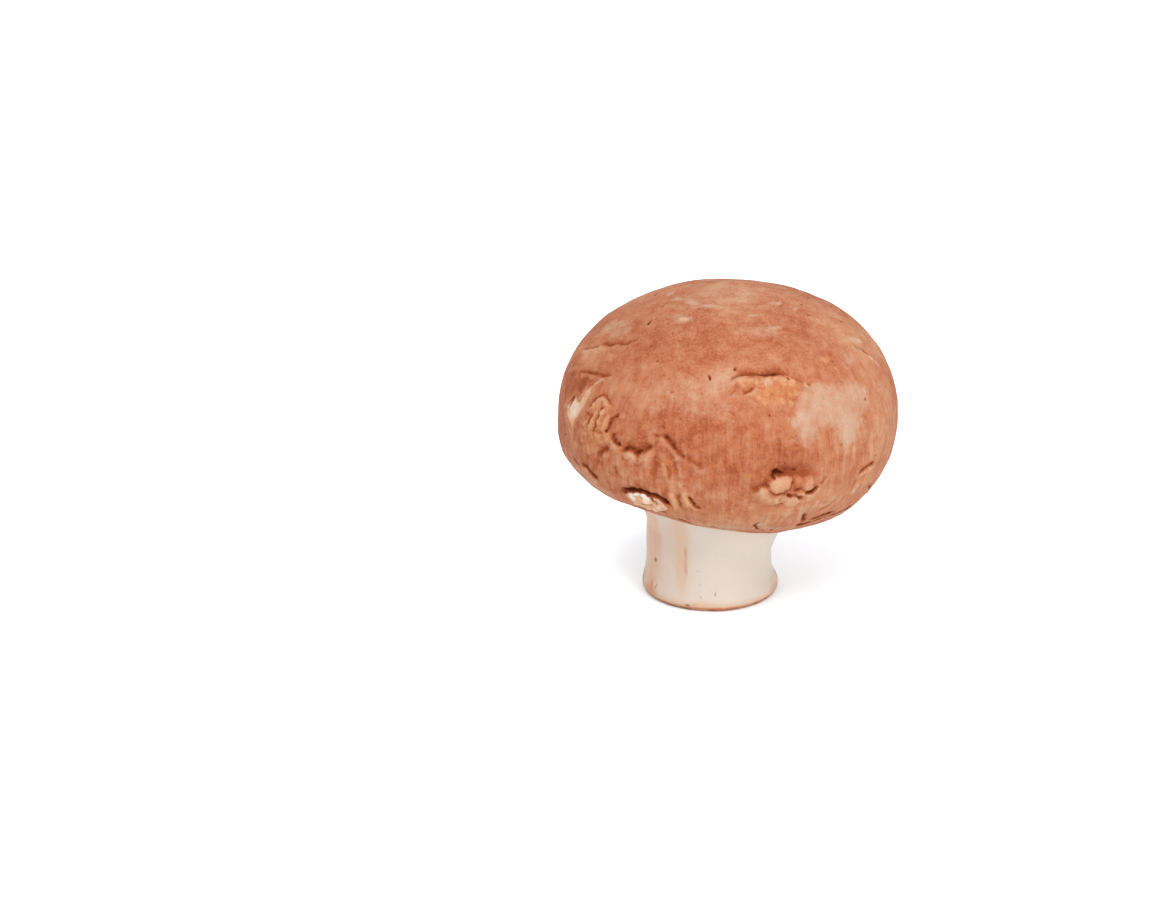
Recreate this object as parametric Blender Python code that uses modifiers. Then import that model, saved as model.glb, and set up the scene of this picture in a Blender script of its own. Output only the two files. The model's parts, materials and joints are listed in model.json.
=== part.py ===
"""A button mushroom with a closed brown cap, standing on the cut end of its short stem.

Run it with: blender --background --python part.py
Units are metres, +Z is up. The origin is on the surface that the mushroom stands on, under the middle of
the cap's box. Places on the cap are given as a bearing, in degrees round from the front (-Y) towards +X,
and a drop, in degrees down from the crown: 0 is the crown, 90 the widest level, 180 under the cap.
"""

import math

import bmesh
import bpy
from mathutils import Vector, noise

MM = 0.001

# Cap: the driving dimensions
CAP_RADIUS = 24.0 * MM      # half the mean width
CAP_OVAL = 0.02             # share by which it is wider left to right and narrower front to back
CROWN_RISE = 18.6 * MM      # from the widest level up to the crown
UNDER_DROP = 14.1 * MM      # from the widest level down to the underside
UNDER_LEAN = 3.6 * MM       # how much lower the underside hangs towards +X
UNDER_SHIFT = 0.7 * MM      # how far the lower half is drawn towards -X
DOME_FULLNESS = 2.19        # exponent of the upper half's outline; 2 is an ellipse
UNDER_FULLNESS = 2.7        # exponent of the lower half's outline
WIDEST_HEIGHT = 27.3 * MM   # height of the widest level above the surface it stands on
CAP_CUTS = 29               # cuts along each edge of the cube that the cap starts from

# Margin: the cap's skin rolls in under it and turns up into a groove round the stem
MARGIN_RADIUS = 15.6 * MM
GROOVE_RADIUS = 12.0 * MM
GROOVE_DEPTH = 1.1 * MM

# Stem: waisted, with a lip round its cut foot and a collar that meets the cap
STEM_OFFSET = 2.26 * MM     # the stem stands this far towards -X from the cap's middle
CUT_RADIUS = 9.1 * MM
FOOT_RADIUS = 10.0 * MM
FOOT_HEIGHT = 1.2 * MM
FOOT_REACH = 3.1 * MM       # height over which the foot narrows to the waist
WAIST_RADIUS = 9.15 * MM
COLLAR_RADIUS = 12.2 * MM
COLLAR_BASE = 8.6 * MM      # height at which the stem starts to widen again
COLLAR_HEIGHT = 15.4 * MM   # height at which it reaches its full width, in the groove
COLLAR_CURVE = 1.3          # exponent of the collar's outline; 1 is a straight cone
SEAT_HEIGHT = 17.6 * MM     # top of the stem, seated in the cap
SEAT_SLOPE = 0.24           # how much the collar and the seat slope down towards +X
STEM_WOBBLE = ((2, 0.9, 0.010), (3, 2.2, 0.006), (5, 0.4, 0.003))  # lobes, phase, share of the radius
STEM_STEPS = 72

SEAT_GAP = 0.3 * MM         # clearance between the stem and its seat in the cap

# Relief of the skin
SWELL = 0.30 * MM           # height of the broad swells
SWELL_SCALE = 2.3           # swells per radius of the cap

# Hollows and rises: bearing, drop, reach, height
RISES = (
    (-62, 47, 6.0 * MM, -0.45 * MM),    # flat on the upper left
    (-8, 66, 7.0 * MM, -0.35 * MM),     # shallow hollow in the middle of the front
    (12, 61, 4.2 * MM, 0.35 * MM),      # wrinkled swelling right of it
    (-50, 81, 3.6 * MM, 0.40 * MM),     # crinkled swelling on the left
    (-33, 94, 4.6 * MM, 0.45 * MM),     # flap under the long crease
    (19, 91, 2.6 * MM, -0.75 * MM),     # pit over the knobs at the lower right
    (23, 100, 1.8 * MM, -0.85 * MM),    # pit between the knobs
    (16, 96.5, 1.6 * MM, 1.05 * MM),    # large knob
    (27.5, 97, 1.4 * MM, 0.85 * MM),    # small knob
    (10, 101, 2.2 * MM, 0.50 * MM),     # lobe below the knobs, left
    (19, 105, 2.3 * MM, 0.60 * MM),     # lobe below the knobs, right
    (54, 100, 2.6 * MM, 0.40 * MM),     # fold near the right edge
    (118, 62, 5.5 * MM, -0.45 * MM),    # dent at the back right
    (-152, 84, 4.5 * MM, 0.40 * MM),    # swelling at the back left
    (152, 97, 3.0 * MM, -0.60 * MM),    # pit at the back
)

# Creases: depth, width, lip on the lower side, and the places that each runs through
CREASES = (
    (0.75 * MM, 1.10 * MM, 0.30 * MM,
     ((-45, 79), (-45, 83), (-41, 86), (-33, 87), (-28, 84), (-24, 80), (-19, 84.5), (-11, 89.5))),
    (0.45 * MM, 1.05 * MM, 0.15 * MM, ((-50, 92), (-47, 89.5), (-42, 86.5))),
    (0.45 * MM, 1.10 * MM, 0.30 * MM, ((-2, 59.5), (3, 57.5), (9, 58), (14, 59.5), (22, 57.5))),
    (0.40 * MM, 1.05 * MM, 0.20 * MM, ((-75, 56.5), (-65, 54), (-55, 48))),
    (0.55 * MM, 1.05 * MM, 0.25 * MM, ((-68, 99.5), (-58, 99), (-50, 102))),
    (0.70 * MM, 1.15 * MM, 0.30 * MM, ((-39, 103), (-33, 101), (-27, 102.5), (-21, 106.5))),
    (0.55 * MM, 1.05 * MM, 0.25 * MM, ((49, 99), (53, 97.3), (58, 97.5))),
    (0.55 * MM, 1.10 * MM, 0.10 * MM, ((27, 106), (29, 111), (31, 116))),
    (0.60 * MM, 1.10 * MM, 0.25 * MM, ((98, 88), (106, 84), (115, 86), (124, 91))),
    (0.50 * MM, 1.10 * MM, 0.25 * MM, ((-122, 74), (-131, 71), (-140, 75))),
    (0.55 * MM, 1.10 * MM, 0.25 * MM, ((168, 103), (176, 100), (-174, 102), (-166, 107))),
)

# Tears, where a strip of skin has come away: bearing, drop, half length, half width, lean, depth
TEARS = (
    (-63, 77, 3.8 * MM, 1.1 * MM, 62, 0.40 * MM),
    (-30, 106, 3.3 * MM, 1.0 * MM, -12, 0.35 * MM),
    (-96, 96, 3.0 * MM, 1.1 * MM, 40, 0.40 * MM),
    (136, 80, 3.6 * MM, 1.2 * MM, -55, 0.40 * MM),
)


def smooth_step(low, high, value):
    """0 below low, 1 above high and a smooth ramp between them."""
    t = min(max((value - low) / (high - low), 0.0), 1.0)
    return t * t * (3 - 2 * t)


def direction_at(bearing, drop):
    """Unit vector from the cap's middle towards a place on it."""
    round_, down = math.radians(bearing), math.radians(drop)
    return Vector((math.sin(down) * math.sin(round_), -math.sin(down) * math.cos(round_), math.cos(down)))


def cap_form(direction):
    """Point of the smooth cap in that direction, measured from the middle of its widest level."""
    across = math.hypot(direction.x, direction.y)
    below = max(-direction.z, 0.0)
    if direction.z >= 0:
        height, fullness = CROWN_RISE, DOME_FULLNESS
    else:
        height = UNDER_DROP + UNDER_LEAN * direction.x * (1 - direction.x ** 2 / 2)
        fullness = UNDER_FULLNESS
    reach = ((across / CAP_RADIUS) ** fullness + (abs(direction.z) / height) ** fullness) ** (-1 / fullness)
    return Vector((
        reach * direction.x * (1 + CAP_OVAL) - 2 * UNDER_SHIFT * below * across,
        reach * direction.y * (1 - CAP_OVAL),
        reach * direction.z,
    ))


def groove_lift(point):
    """How far the underside is lifted at a point, where it turns up into the groove round the stem."""
    from_stem = math.hypot(point.x + STEM_OFFSET, point.y)
    if point.z > 0:
        return 0.0
    return GROOVE_DEPTH * (1 - smooth_step(GROOVE_RADIUS, MARGIN_RADIUS, from_stem))


def swell_height(direction):
    """Broad, soft swells of the whole cap."""
    return SWELL * noise.noise(direction * SWELL_SCALE + Vector((3.1, 7.7, 1.3)))


def rise_height(point, rise):
    """Height that one soft rise or hollow adds at a point of the smooth cap."""
    bearing, drop, reach, height = rise
    away = (point - cap_form(direction_at(bearing, drop))).length
    return height * math.exp(-((away / reach) ** 2))


def nearest_on_run(point, run):
    """Vector from the nearest place on a run of points to the point."""
    best = None
    for start, end in zip(run, run[1:]):
        along = end - start
        share = min(max((point - start).dot(along) / along.length_squared, 0.0), 1.0)
        offset = point - (start + along * share)
        if best is None or offset.length < best.length:
            best = offset
    return best


def crease_height(point, crease):
    """Height that one crease adds: a furrow, with a raised lip along its lower side."""
    depth, width, lip, places = crease
    run = [cap_form(direction_at(*place)) for place in places]
    offset = nearest_on_run(point, run)
    away = offset.length / width
    height = -depth * math.exp(-(away ** 2))
    if offset.z < 0:
        height += lip * math.exp(-((away - 1.8) ** 2))
    return height


def tear_height(point, tear):
    """Depth of one tear at a point: a shallow floor with a soft edge, in a leaning oval."""
    bearing, drop, half_length, half_width, lean, depth = tear
    middle = cap_form(direction_at(bearing, drop))
    sideways = Vector((math.cos(math.radians(bearing)), math.sin(math.radians(bearing)), 0))
    upward = direction_at(bearing, drop - 90)
    offset = point - middle
    right, up = offset.dot(sideways), offset.dot(upward)
    turn = math.radians(lean)
    along = (right * math.cos(turn) + up * math.sin(turn)) / half_length
    over = (up * math.cos(turn) - right * math.sin(turn)) / half_width
    if offset.length > 2 * half_length:
        return 0.0
    return -depth * (1 - smooth_step(0.7, 1.3, math.hypot(along, over)))


def skin_relief(point, direction):
    """Height of the skin above the smooth cap at a point."""
    height = swell_height(direction)
    height += sum(rise_height(point, rise) for rise in RISES)
    height += sum(crease_height(point, crease) for crease in CREASES)
    height += sum(tear_height(point, tear) for tear in TEARS)
    return height


def cap_surface_point(direction):
    """Point of the finished cap in that direction, from the middle of its widest level."""
    point = cap_form(direction)
    on_skin = smooth_step(MARGIN_RADIUS - 1.5 * MM, MARGIN_RADIUS + 1.5 * MM,
                          math.hypot(point.x + STEM_OFFSET, point.y)) if point.z < 0 else 1.0
    raised = point + direction * (skin_relief(point, direction) * on_skin)
    raised.z += groove_lift(point)
    return raised


def stem_radius(height, gap):
    """Radius of the stem at a height, grown by a gap for the seat that it needs in the cap."""
    if height < FOOT_HEIGHT:
        down = 1 - height / FOOT_HEIGHT
        return CUT_RADIUS + (FOOT_RADIUS - CUT_RADIUS) * math.sqrt(1 - down * down) + gap
    narrowing = math.exp(-(((height - FOOT_HEIGHT) / FOOT_REACH) ** 2))
    foot = (FOOT_RADIUS - WAIST_RADIUS) * narrowing
    rise = min(max((height - COLLAR_BASE) / (COLLAR_HEIGHT - COLLAR_BASE), 0.0), 1.0)
    collar = (COLLAR_RADIUS - WAIST_RADIUS) * rise ** COLLAR_CURVE
    return WAIST_RADIUS + foot + collar + gap


def stem_heights():
    """Heights of the rings of points up the stem, closer together where it curves most."""
    foot = [FOOT_HEIGHT * share for share in (0.0, 0.12, 0.4, 1.0)]
    shank = [FOOT_HEIGHT + (COLLAR_BASE - FOOT_HEIGHT) * step / 6 for step in range(1, 7)]
    collar = [COLLAR_BASE + (COLLAR_HEIGHT - COLLAR_BASE) * step / 6 for step in range(1, 7)]
    return foot + shank + collar


def turned_body(name, profile, steps):
    """Mesh object turned round Z from (radius, height) points that run down its outer side."""
    mesh = bpy.data.meshes.new(name)
    mesh.from_pydata([(radius, 0, height) for radius, height in profile],
                     [(i, i + 1) for i in range(len(profile) - 1)], [])
    body = bpy.data.objects.new(name, mesh)
    bpy.context.scene.collection.objects.link(body)
    screw = body.modifiers.new("Turn", "SCREW")
    screw.steps = screw.render_steps = steps
    screw.use_merge_vertices = True
    screw.merge_threshold = 0.01 * MM
    solid = bpy.data.meshes.new_from_object(body.evaluated_get(bpy.context.evaluated_depsgraph_get()))
    bpy.data.objects.remove(body)
    return bpy.data.objects.new(name, solid)


def stem_body(name, gap=0.0):
    """The stem, or with a gap the larger body that cuts its seat in the cap."""
    top = SEAT_HEIGHT + gap
    profile = [(0.0, top), (COLLAR_RADIUS + gap, top)]
    profile += [(stem_radius(height, gap), height) for height in reversed(stem_heights())]
    profile += [(0.0, 0.0)]
    body = turned_body(name, profile, STEM_STEPS)
    for vertex in body.data.vertices:
        bearing = math.atan2(vertex.co.x, -vertex.co.y)
        wobble = 1 + sum(share * math.sin(lobes * bearing + phase) for lobes, phase, share in STEM_WOBBLE)
        in_seat = smooth_step(COLLAR_BASE, COLLAR_HEIGHT, vertex.co.z)
        vertex.co.x *= wobble * (1 - in_seat) + in_seat
        vertex.co.y *= wobble * (1 - in_seat) + in_seat
        raised = smooth_step(FOOT_HEIGHT, COLLAR_BASE, vertex.co.z)
        vertex.co.z -= SEAT_SLOPE * vertex.co.x * raised
    return body


def cap_body(name):
    """The cap's solid, from a cube that is cut up evenly, swollen into a ball and shaped."""
    ball = bmesh.new()
    bmesh.ops.create_cube(ball, size=2.0)
    bmesh.ops.subdivide_edges(ball, edges=ball.edges[:], cuts=CAP_CUTS, use_grid_fill=True)
    for vertex in ball.verts:
        even = [math.tan(side * math.pi / 4) for side in vertex.co]
        vertex.co = cap_surface_point(Vector(even).normalized())
    mesh = bpy.data.meshes.new(name)
    ball.to_mesh(mesh)
    ball.free()
    return bpy.data.objects.new(name, mesh)


def material(name, colour, roughness):
    """Principled material of one plain colour."""
    made = bpy.data.materials.new(name)
    made.use_nodes = True
    shader = made.node_tree.nodes["Principled BSDF"]
    shader.inputs["Base Color"].default_value = (*colour, 1.0)
    shader.inputs["Roughness"].default_value = roughness
    shader.inputs["Metallic"].default_value = 0.0
    made.diffuse_color = (*colour, 1.0)
    return made


def dress(body, finish):
    """Gives a body its material and smooth shading."""
    body.data.materials.clear()
    body.data.materials.append(finish)
    body.data.shade_smooth()
    body.data.set_sharp_from_angle(angle=math.radians(50))


def clear_scene():
    """Removes whatever the scene holds."""
    for item in list(bpy.data.objects):
        bpy.data.objects.remove(item, do_unlink=True)


def build_mushroom():
    """Builds the cap and the stem and stands them on the origin."""
    clear_scene()
    parts = bpy.data.collections.new("Button mushroom")
    cutters = bpy.data.collections.new("Cutters")
    for group in (parts, cutters):
        bpy.context.scene.collection.children.link(group)

    root = bpy.data.objects.new("mushroom", None)
    parts.objects.link(root)

    cap = cap_body("cap")
    cap.location = (0, 0, WIDEST_HEIGHT)
    dress(cap, material("brown cap skin", (0.52, 0.20, 0.09), 0.6))

    stem = stem_body("stem")
    stem.location = (-STEM_OFFSET, 0, 0)
    dress(stem, material("cream stem flesh", (0.78, 0.66, 0.56), 0.7))

    seat = stem_body("seat cutter", SEAT_GAP)
    seat.location = stem.location
    seat.hide_render = True
    seat.display_type = "WIRE"
    cutters.objects.link(seat)

    for body in (cap, stem):
        parts.objects.link(body)
        body.parent = root
    seat.parent = root

    seat_cut = cap.modifiers.new("Seat for the stem", "BOOLEAN")
    seat_cut.operation = "DIFFERENCE"
    seat_cut.solver = "EXACT"
    seat_cut.object = seat

    sides = [[corner.co[axis] for corner in cap.data.vertices] for axis in (0, 1)]
    root.location = (-(min(sides[0]) + max(sides[0])) / 2, -(min(sides[1]) + max(sides[1])) / 2, 0)


build_mushroom()
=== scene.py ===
"""A brown button mushroom with a closed cap, dressed for a plain studio picture.

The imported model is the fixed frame: the skin of the cap and the flesh of the stem are made here at a finer
scale and stand in for its two solids. Sizes are in millimetres and become metres when a mesh is made. A place
on the cap is (bearing, drop): degrees round from the front (-Y) towards +X, and degrees down from the crown,
so a drop of 0 is the crown, 90 the widest level and 180 under the cap.
"""

import json
import logging
import math
from collections.abc import Iterable, Sequence
from dataclasses import dataclass, field, replace
from enum import Enum
from typing import Any

import bpy
import numpy as np
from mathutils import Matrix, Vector, noise

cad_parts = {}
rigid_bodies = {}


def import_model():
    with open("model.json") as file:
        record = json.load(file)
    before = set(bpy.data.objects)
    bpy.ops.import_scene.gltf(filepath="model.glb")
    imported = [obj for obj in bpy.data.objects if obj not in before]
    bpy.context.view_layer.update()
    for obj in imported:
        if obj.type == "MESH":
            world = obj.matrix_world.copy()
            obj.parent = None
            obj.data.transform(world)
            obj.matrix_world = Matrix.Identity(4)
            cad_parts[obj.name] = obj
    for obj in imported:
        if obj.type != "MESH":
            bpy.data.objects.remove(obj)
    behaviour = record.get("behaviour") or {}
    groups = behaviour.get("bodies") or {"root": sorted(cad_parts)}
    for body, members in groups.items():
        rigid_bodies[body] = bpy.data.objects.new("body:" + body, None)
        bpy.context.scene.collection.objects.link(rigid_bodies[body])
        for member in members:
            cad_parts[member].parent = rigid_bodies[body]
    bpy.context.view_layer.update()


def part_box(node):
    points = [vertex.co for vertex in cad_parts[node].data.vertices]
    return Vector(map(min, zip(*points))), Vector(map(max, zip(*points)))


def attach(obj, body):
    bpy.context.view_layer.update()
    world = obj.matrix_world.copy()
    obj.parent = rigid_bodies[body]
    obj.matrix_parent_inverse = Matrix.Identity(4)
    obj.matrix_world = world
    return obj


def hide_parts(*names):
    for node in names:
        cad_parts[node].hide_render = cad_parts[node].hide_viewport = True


log = logging.getLogger("mushroom")

MM = 0.001
RUN_REACH = 6.0      # how far beyond its places a line is measured, in millimetres
PATCH_REACH = 3.0    # the same for an outline, before its feather
Place = tuple[float, float]
Numbers = np.ndarray
Paint = tuple[float, float, float, float]


class Tint(Enum):
    """What colours a stretch of skin or flesh; each is a share from 0 to 1 at every point of a mesh."""

    STAIN = "stain"     # dark brown in creases, pits and old nicks, partly real browning and partly painted shade in the hollows
    FLESH = "flesh"     # bare cream flesh where the skin is gone
    AMBER = "amber"     # orange-tan under-skin where only the outer skin is rubbed off
    SCUFF = "scuff"     # cool beige rubbed skin
    PALE = "pale"       # lighter skin, also a painted highlight on the lips of creases
    RUDDY = "ruddy"     # deeper red-brown skin, also painted shade above creases, round knobs, on the sides turned away from the camera and on the stem's left
    VEIL = "veil"       # cream membrane under the cap
    RIM = "rim"         # orange-brown edge of a cut


STAIN, FLESH, AMBER, SCUFF, PALE, RUDDY, VEIL, RIM = Tint
Shares = dict[Tint, float]


def raw_noise(points: Numbers) -> Numbers:
    """Smooth noise from about -1 to 1 at each point."""
    rows = points.tolist()
    return np.fromiter((noise.noise(row) for row in rows), float, len(rows))


def noise_at(points: Numbers, scale: float, shift: float) -> Numbers:
    """Smooth noise at many points.

    Args:
        points: One row of three coordinates for each point.
        scale: How many lumps fit in one unit of length.
        shift: Moves the noise, so that two calls differ.

    Returns:
        One value from about -1 to 1 for each point.
    """
    return raw_noise(points * scale + (shift, shift * 1.7, shift * 0.6))


def smooth_step(low: float, high: float, value: Numbers) -> Numbers:
    """0 below low, 1 above high and a smooth ramp between; falls instead of rising if low is over high."""
    share = np.clip((value - low) / (high - low), 0.0, 1.0)
    return share * share * (3 - 2 * share)


def bell(distance: Numbers, reach: float) -> Numbers:
    """1 at no distance, falling smoothly to nothing at about twice the reach."""
    return np.exp(-((distance / reach) ** 2))


def over(under: Numbers, share: Numbers) -> Numbers:
    """A share of a tint laid over what is there already."""
    return 1 - (1 - under) * (1 - share)


def in_oval(right: Numbers, up: Numbers, lean: float, across: float, tall: float
            ) -> tuple[Numbers, Numbers]:
    """Positions counted in the half width and half height of an oval that leans by an angle in degrees."""
    turn = math.radians(lean)
    return ((right * math.cos(turn) + up * math.sin(turn)) / across,
            (up * math.cos(turn) - right * math.sin(turn)) / tall)


def from_segment(u: Numbers, v: Numbers, start: Numbers, step: Numbers) -> tuple[Numbers, Numbers, Numbers]:
    """Where flat points lie from a straight segment.

    Args:
        u: Their first coordinates.
        v: Their second coordinates.
        start: The segment's start.
        step: From its start to its end.

    Returns:
        The share of the segment passed, and the two parts of the gap from the segment.
    """
    along = np.clip(((u - start[0]) * step[0] + (v - start[1]) * step[1]) / (step @ step), 0, 1)
    return along, u - start[0] - along * step[0], v - start[1] - along * step[1]


@dataclass(frozen=True)
class CapForm:
    """The smooth cap: two half superellipses, the lower one leaning, about the widest level's middle."""

    radius: float = 24.0
    oval: float = 0.02
    crown_rise: float = 18.6
    under_drop: float = 14.1
    under_lean: float = 3.6
    under_shift: float = 0.7
    dome_fullness: float = 2.19
    under_fullness: float = 2.7
    widest_height: float = 27.3
    stem_offset: float = 2.26
    margin_radius: float = 15.6
    groove_radius: float = 12.0
    groove_depth: float = 1.1

    @staticmethod
    def direction(bearing: float, drop: float) -> Numbers:
        """Unit vector from the cap's middle towards a place."""
        turn, down = math.radians(bearing), math.radians(drop)
        return np.array((math.sin(down) * math.sin(turn), -math.sin(down) * math.cos(turn), math.cos(down)))

    def surface(self, direction: Numbers) -> Numbers:
        """Points of the smooth cap.

        Args:
            direction: One unit vector for each point, from the cap's middle.

        Returns:
            The points, from the cap's middle.
        """
        x, y, z = direction.T
        across = np.hypot(x, y)
        upper = z >= 0
        height = np.where(upper, self.crown_rise, self.under_drop + self.under_lean * x * (1 - x * x / 2))
        fullness = np.where(upper, self.dome_fullness, self.under_fullness)
        reach = ((across / self.radius) ** fullness + (np.abs(z) / height) ** fullness) ** (-1 / fullness)
        below = np.maximum(-z, 0)
        return np.stack((
            reach * x * (1 + self.oval) - 2 * self.under_shift * below * across,
            reach * y * (1 - self.oval),
            reach * z,
        ), axis=1)

    def place(self, bearing: float, drop: float) -> Numbers:
        """Point of the smooth cap at a place."""
        return self.surface(self.direction(bearing, drop)[None])[0]

    def from_stem(self, point: Numbers) -> Numbers:
        """Distance of each point from the stem's axis."""
        return np.hypot(point[:, 0] + self.stem_offset, point[:, 1])

    def groove_lift(self, point: Numbers) -> Numbers:
        """How far each point of the underside is lifted into the groove round the stem."""
        away = smooth_step(self.groove_radius, self.margin_radius, self.from_stem(point))
        return np.where(point[:, 2] > 0, 0.0, self.groove_depth * (1 - away))


@dataclass(frozen=True)
class Chart:
    """The points of the skin near a place, with their position on the flat sheet that touches it there."""

    ids: Numbers
    right: Numbers
    up: Numbers
    along_right: Numbers
    along_up: Numbers

    def flat(self, points: Numbers, middle: Numbers) -> Numbers:
        """Positions of other points on the same sheet."""
        offset = points - middle
        return np.stack((offset @ self.along_right, offset @ self.along_up), axis=1)


class SkinField:
    """The cap's skin while it is shaped: height, sideways slide and share of each tint, point by point."""

    def __init__(self, form: CapForm, direction: Numbers, point: Numbers, normal: Numbers) -> None:
        """Starts from the smooth cap.

        Args:
            form: The smooth cap.
            direction: Unit vector of each point from the cap's middle.
            point: The points.
            normal: The outward unit vector at each point.
        """
        self.form, self.direction, self.point, self.normal = form, direction, point, normal
        self.height = np.zeros(len(point))
        self.slide = np.zeros((len(point), 3))
        self.tints = {tint: np.zeros(len(point)) for tint in Tint}
        self.bearing = np.arctan2(direction[:, 0], -direction[:, 1])
        self.drop = np.arccos(np.clip(direction[:, 2], -1, 1))
        self.grain = np.stack((
            np.cos(self.bearing) * form.radius, np.sin(self.bearing) * form.radius, self.drop * form.radius,
        ), axis=1)
        self.fine = noise_at(point, 1.3, 5.0)
        self.fine_too = noise_at(point, 1.3, 37.0)
        self.beads = noise_at(point, 2.1, 53.0)
        self.coarse = noise_at(point, 0.42, 11.0)
        self.streak = noise_at(self.grain * (1, 1, 0.16), 1.25, 3.0)

    def near(self, place: Place, reach: float) -> Chart:
        """The points within reach of a place, laid on the sheet that touches the cap there."""
        middle = self.form.place(*place)
        ids = np.flatnonzero(np.linalg.norm(self.point - middle, axis=1) < reach)
        bearing, drop = place
        along_right = self.form.place(bearing + 0.5, drop) - self.form.place(bearing - 0.5, drop)
        along_up = self.form.place(bearing, drop - 0.5) - self.form.place(bearing, drop + 0.5)
        along_right /= np.linalg.norm(along_right)
        along_up -= along_right * (along_up @ along_right)
        along_up /= np.linalg.norm(along_up)
        offset = self.point[ids] - middle
        return Chart(ids, offset @ along_right, offset @ along_up, along_right, along_up)

    def bulge(self, faces: Numbers, passes: int, unit: float) -> Numbers:
        """How far each point stands out from the skin round it.

        Args:
            faces: The four corners of each face.
            passes: How many times a point takes the mean of its neighbours to find the skin round it.
            unit: The height in millimetres that counts as 1.

        Returns:
            One value from -1.5 in a hollow to 1.5 on a ridge for each point.
        """
        first = faces.ravel()
        second = np.roll(faces, -1, axis=1).ravel()
        count = len(self.height)
        links = np.bincount(first, minlength=count) + np.bincount(second, minlength=count)
        mean = self.height.copy()
        for _ in range(passes):
            total = np.bincount(first, mean[second], count) + np.bincount(second, mean[first], count)
            mean = 0.5 * mean + 0.5 * total / links
        return np.clip((self.height - mean) / unit, -1.5, 1.5)

    def lay(self, tint: Tint, share: Numbers, ids: Numbers | slice = slice(None)) -> None:
        """Adds a share of a tint over what is there already, at some points or at all."""
        shares = self.tints[tint]
        shares[ids] = over(shares[ids], np.clip(share, 0, 1))


@dataclass(frozen=True)
class Rise:
    """A soft swelling, or with a negative height a soft hollow."""

    place: Place
    reach: float
    height: float

    def apply(self, skin: SkinField) -> None:
        """Raises the skin."""
        away = np.linalg.norm(skin.point - skin.form.place(*self.place), axis=1)
        skin.height += self.height * bell(away, self.reach)


@dataclass(frozen=True)
class Run:
    """A line along the skin through a few places."""

    places: tuple[Place, ...]

    def measure(self, skin: SkinField, wander: float) -> tuple[Numbers, Numbers, Numbers, Chart]:
        """Measures the skin from the line.

        Args:
            skin: The skin.
            wander: How far the line strays from its course, in millimetres.

        Returns:
            The distance of each near point from the line, its height above it, the share of the line
            passed, and the chart of those points.
        """
        middle_place = self.places[len(self.places) // 2]
        middle = skin.form.place(*middle_place)
        corners = np.array([skin.form.place(*place) for place in self.places])
        chart = skin.near(middle_place, np.linalg.norm(corners - middle, axis=1).max() + RUN_REACH)
        flat = chart.flat(corners, middle)
        u = chart.right + wander * skin.fine[chart.ids]
        v = chart.up + wander * skin.fine_too[chart.ids]
        steps = np.diff(flat, axis=0)
        lengths = np.linalg.norm(steps, axis=1)
        passed = np.concatenate(((0.0,), np.cumsum(lengths)))
        best = np.full(len(u), np.inf)
        above, share = np.zeros(len(u)), np.zeros(len(u))
        for index, (start, step) in enumerate(zip(flat, steps)):
            along, gap_u, gap_v = from_segment(u, v, start, step)
            away = np.hypot(gap_u, gap_v)
            closer = away < best
            side = np.sign(step[0] * gap_v - step[1] * gap_u)
            best = np.where(closer, away, best)
            above = np.where(closer, side * away, above)
            share = np.where(closer, (passed[index] + along * lengths[index]) / passed[-1], share)
        return best, above, share, chart


@dataclass(frozen=True)
class Crease(Run):
    """A crack or fold, drawn from left to right: a furrow, a lip under it with a painted highlight, and skin
    above it browned and painted with shade.
    """

    depth: float
    width: float
    lip: float = 0.0
    overhang: float = 0.0
    stain: float = 0.8
    bruise_and_shade: float = 0.0
    wander: float = 0.22

    def apply(self, skin: SkinField) -> None:
        """Cuts the furrow, raises its lip with a painted highlight, and browns and shades the furrow and the
        skin above it.
        """
        away, above, share, chart = self.measure(skin, self.wander)
        ids = chart.ids
        ends = smooth_step(0.0, 0.15, share) * smooth_step(1.0, 0.85, share)
        taper = (0.3 + 0.7 * ends) * np.clip(0.95 + 0.55 * skin.beads[ids], 0.4, 1.3)
        width = self.width * (0.55 + 0.45 * taper)
        upper, lower = np.maximum(above, 0), np.maximum(-above, 0)
        under = above <= 0
        furrow = np.where(under, np.exp(-((lower / width * 1.8) ** 1.6)), np.exp(-((upper / width) ** 1.2)))
        lip = bell(lower - 1.4 * width, 0.9 * width) * under
        skin.height[ids] += taper * (self.lip * lip - self.depth * furrow)
        push = self.overhang * taper * bell(lower - 0.5 * width, width) * under
        skin.slide[ids] += push[:, None] * chart.along_up
        # Brown along the furrow and above it: partly real browning, partly painted shade; the red-brown above
        # is bruising and painted shade too.
        skin.lay(STAIN, self.stain * taper * np.exp(-((away / (0.8 * width)) ** 2)), ids)
        skin.lay(STAIN, 0.30 * self.stain * taper * np.exp(-upper / (1.6 * width)) * ~under, ids)
        skin.lay(RUDDY, self.bruise_and_shade * ends * np.exp(-upper / (3.5 * width)) * ~under, ids)
        # Painted highlight on the raised lip under the furrow.
        skin.lay(PALE, 0.7 * self.lip * ends * lip, ids)


@dataclass(frozen=True)
class Ridge(Run):
    """A thin raised fold with lighter skin on it, partly worn skin and partly a painted highlight."""

    height: float
    width: float
    tint: Tint = PALE
    amount: float = 0.7
    wander: float = 0.18

    def apply(self, skin: SkinField) -> None:
        """Raises the fold and colours it."""
        away, _, share, chart = self.measure(skin, self.wander)
        ends = smooth_step(0.0, 0.3, share) * smooth_step(1.0, 0.7, share)
        body = bell(away, self.width * (0.6 + 0.4 * ends)) * (0.35 + 0.65 * ends)
        body *= np.clip(1 + 0.6 * skin.beads[chart.ids], 0.4, 1.5)
        skin.height[chart.ids] += self.height * body
        # The tint on the fold is partly worn skin and partly a painted highlight.
        skin.lay(self.tint, self.amount * body, chart.ids)
        skin.tints[STAIN][chart.ids] *= 1 - 0.8 * np.clip(body, 0, 1)


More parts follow.
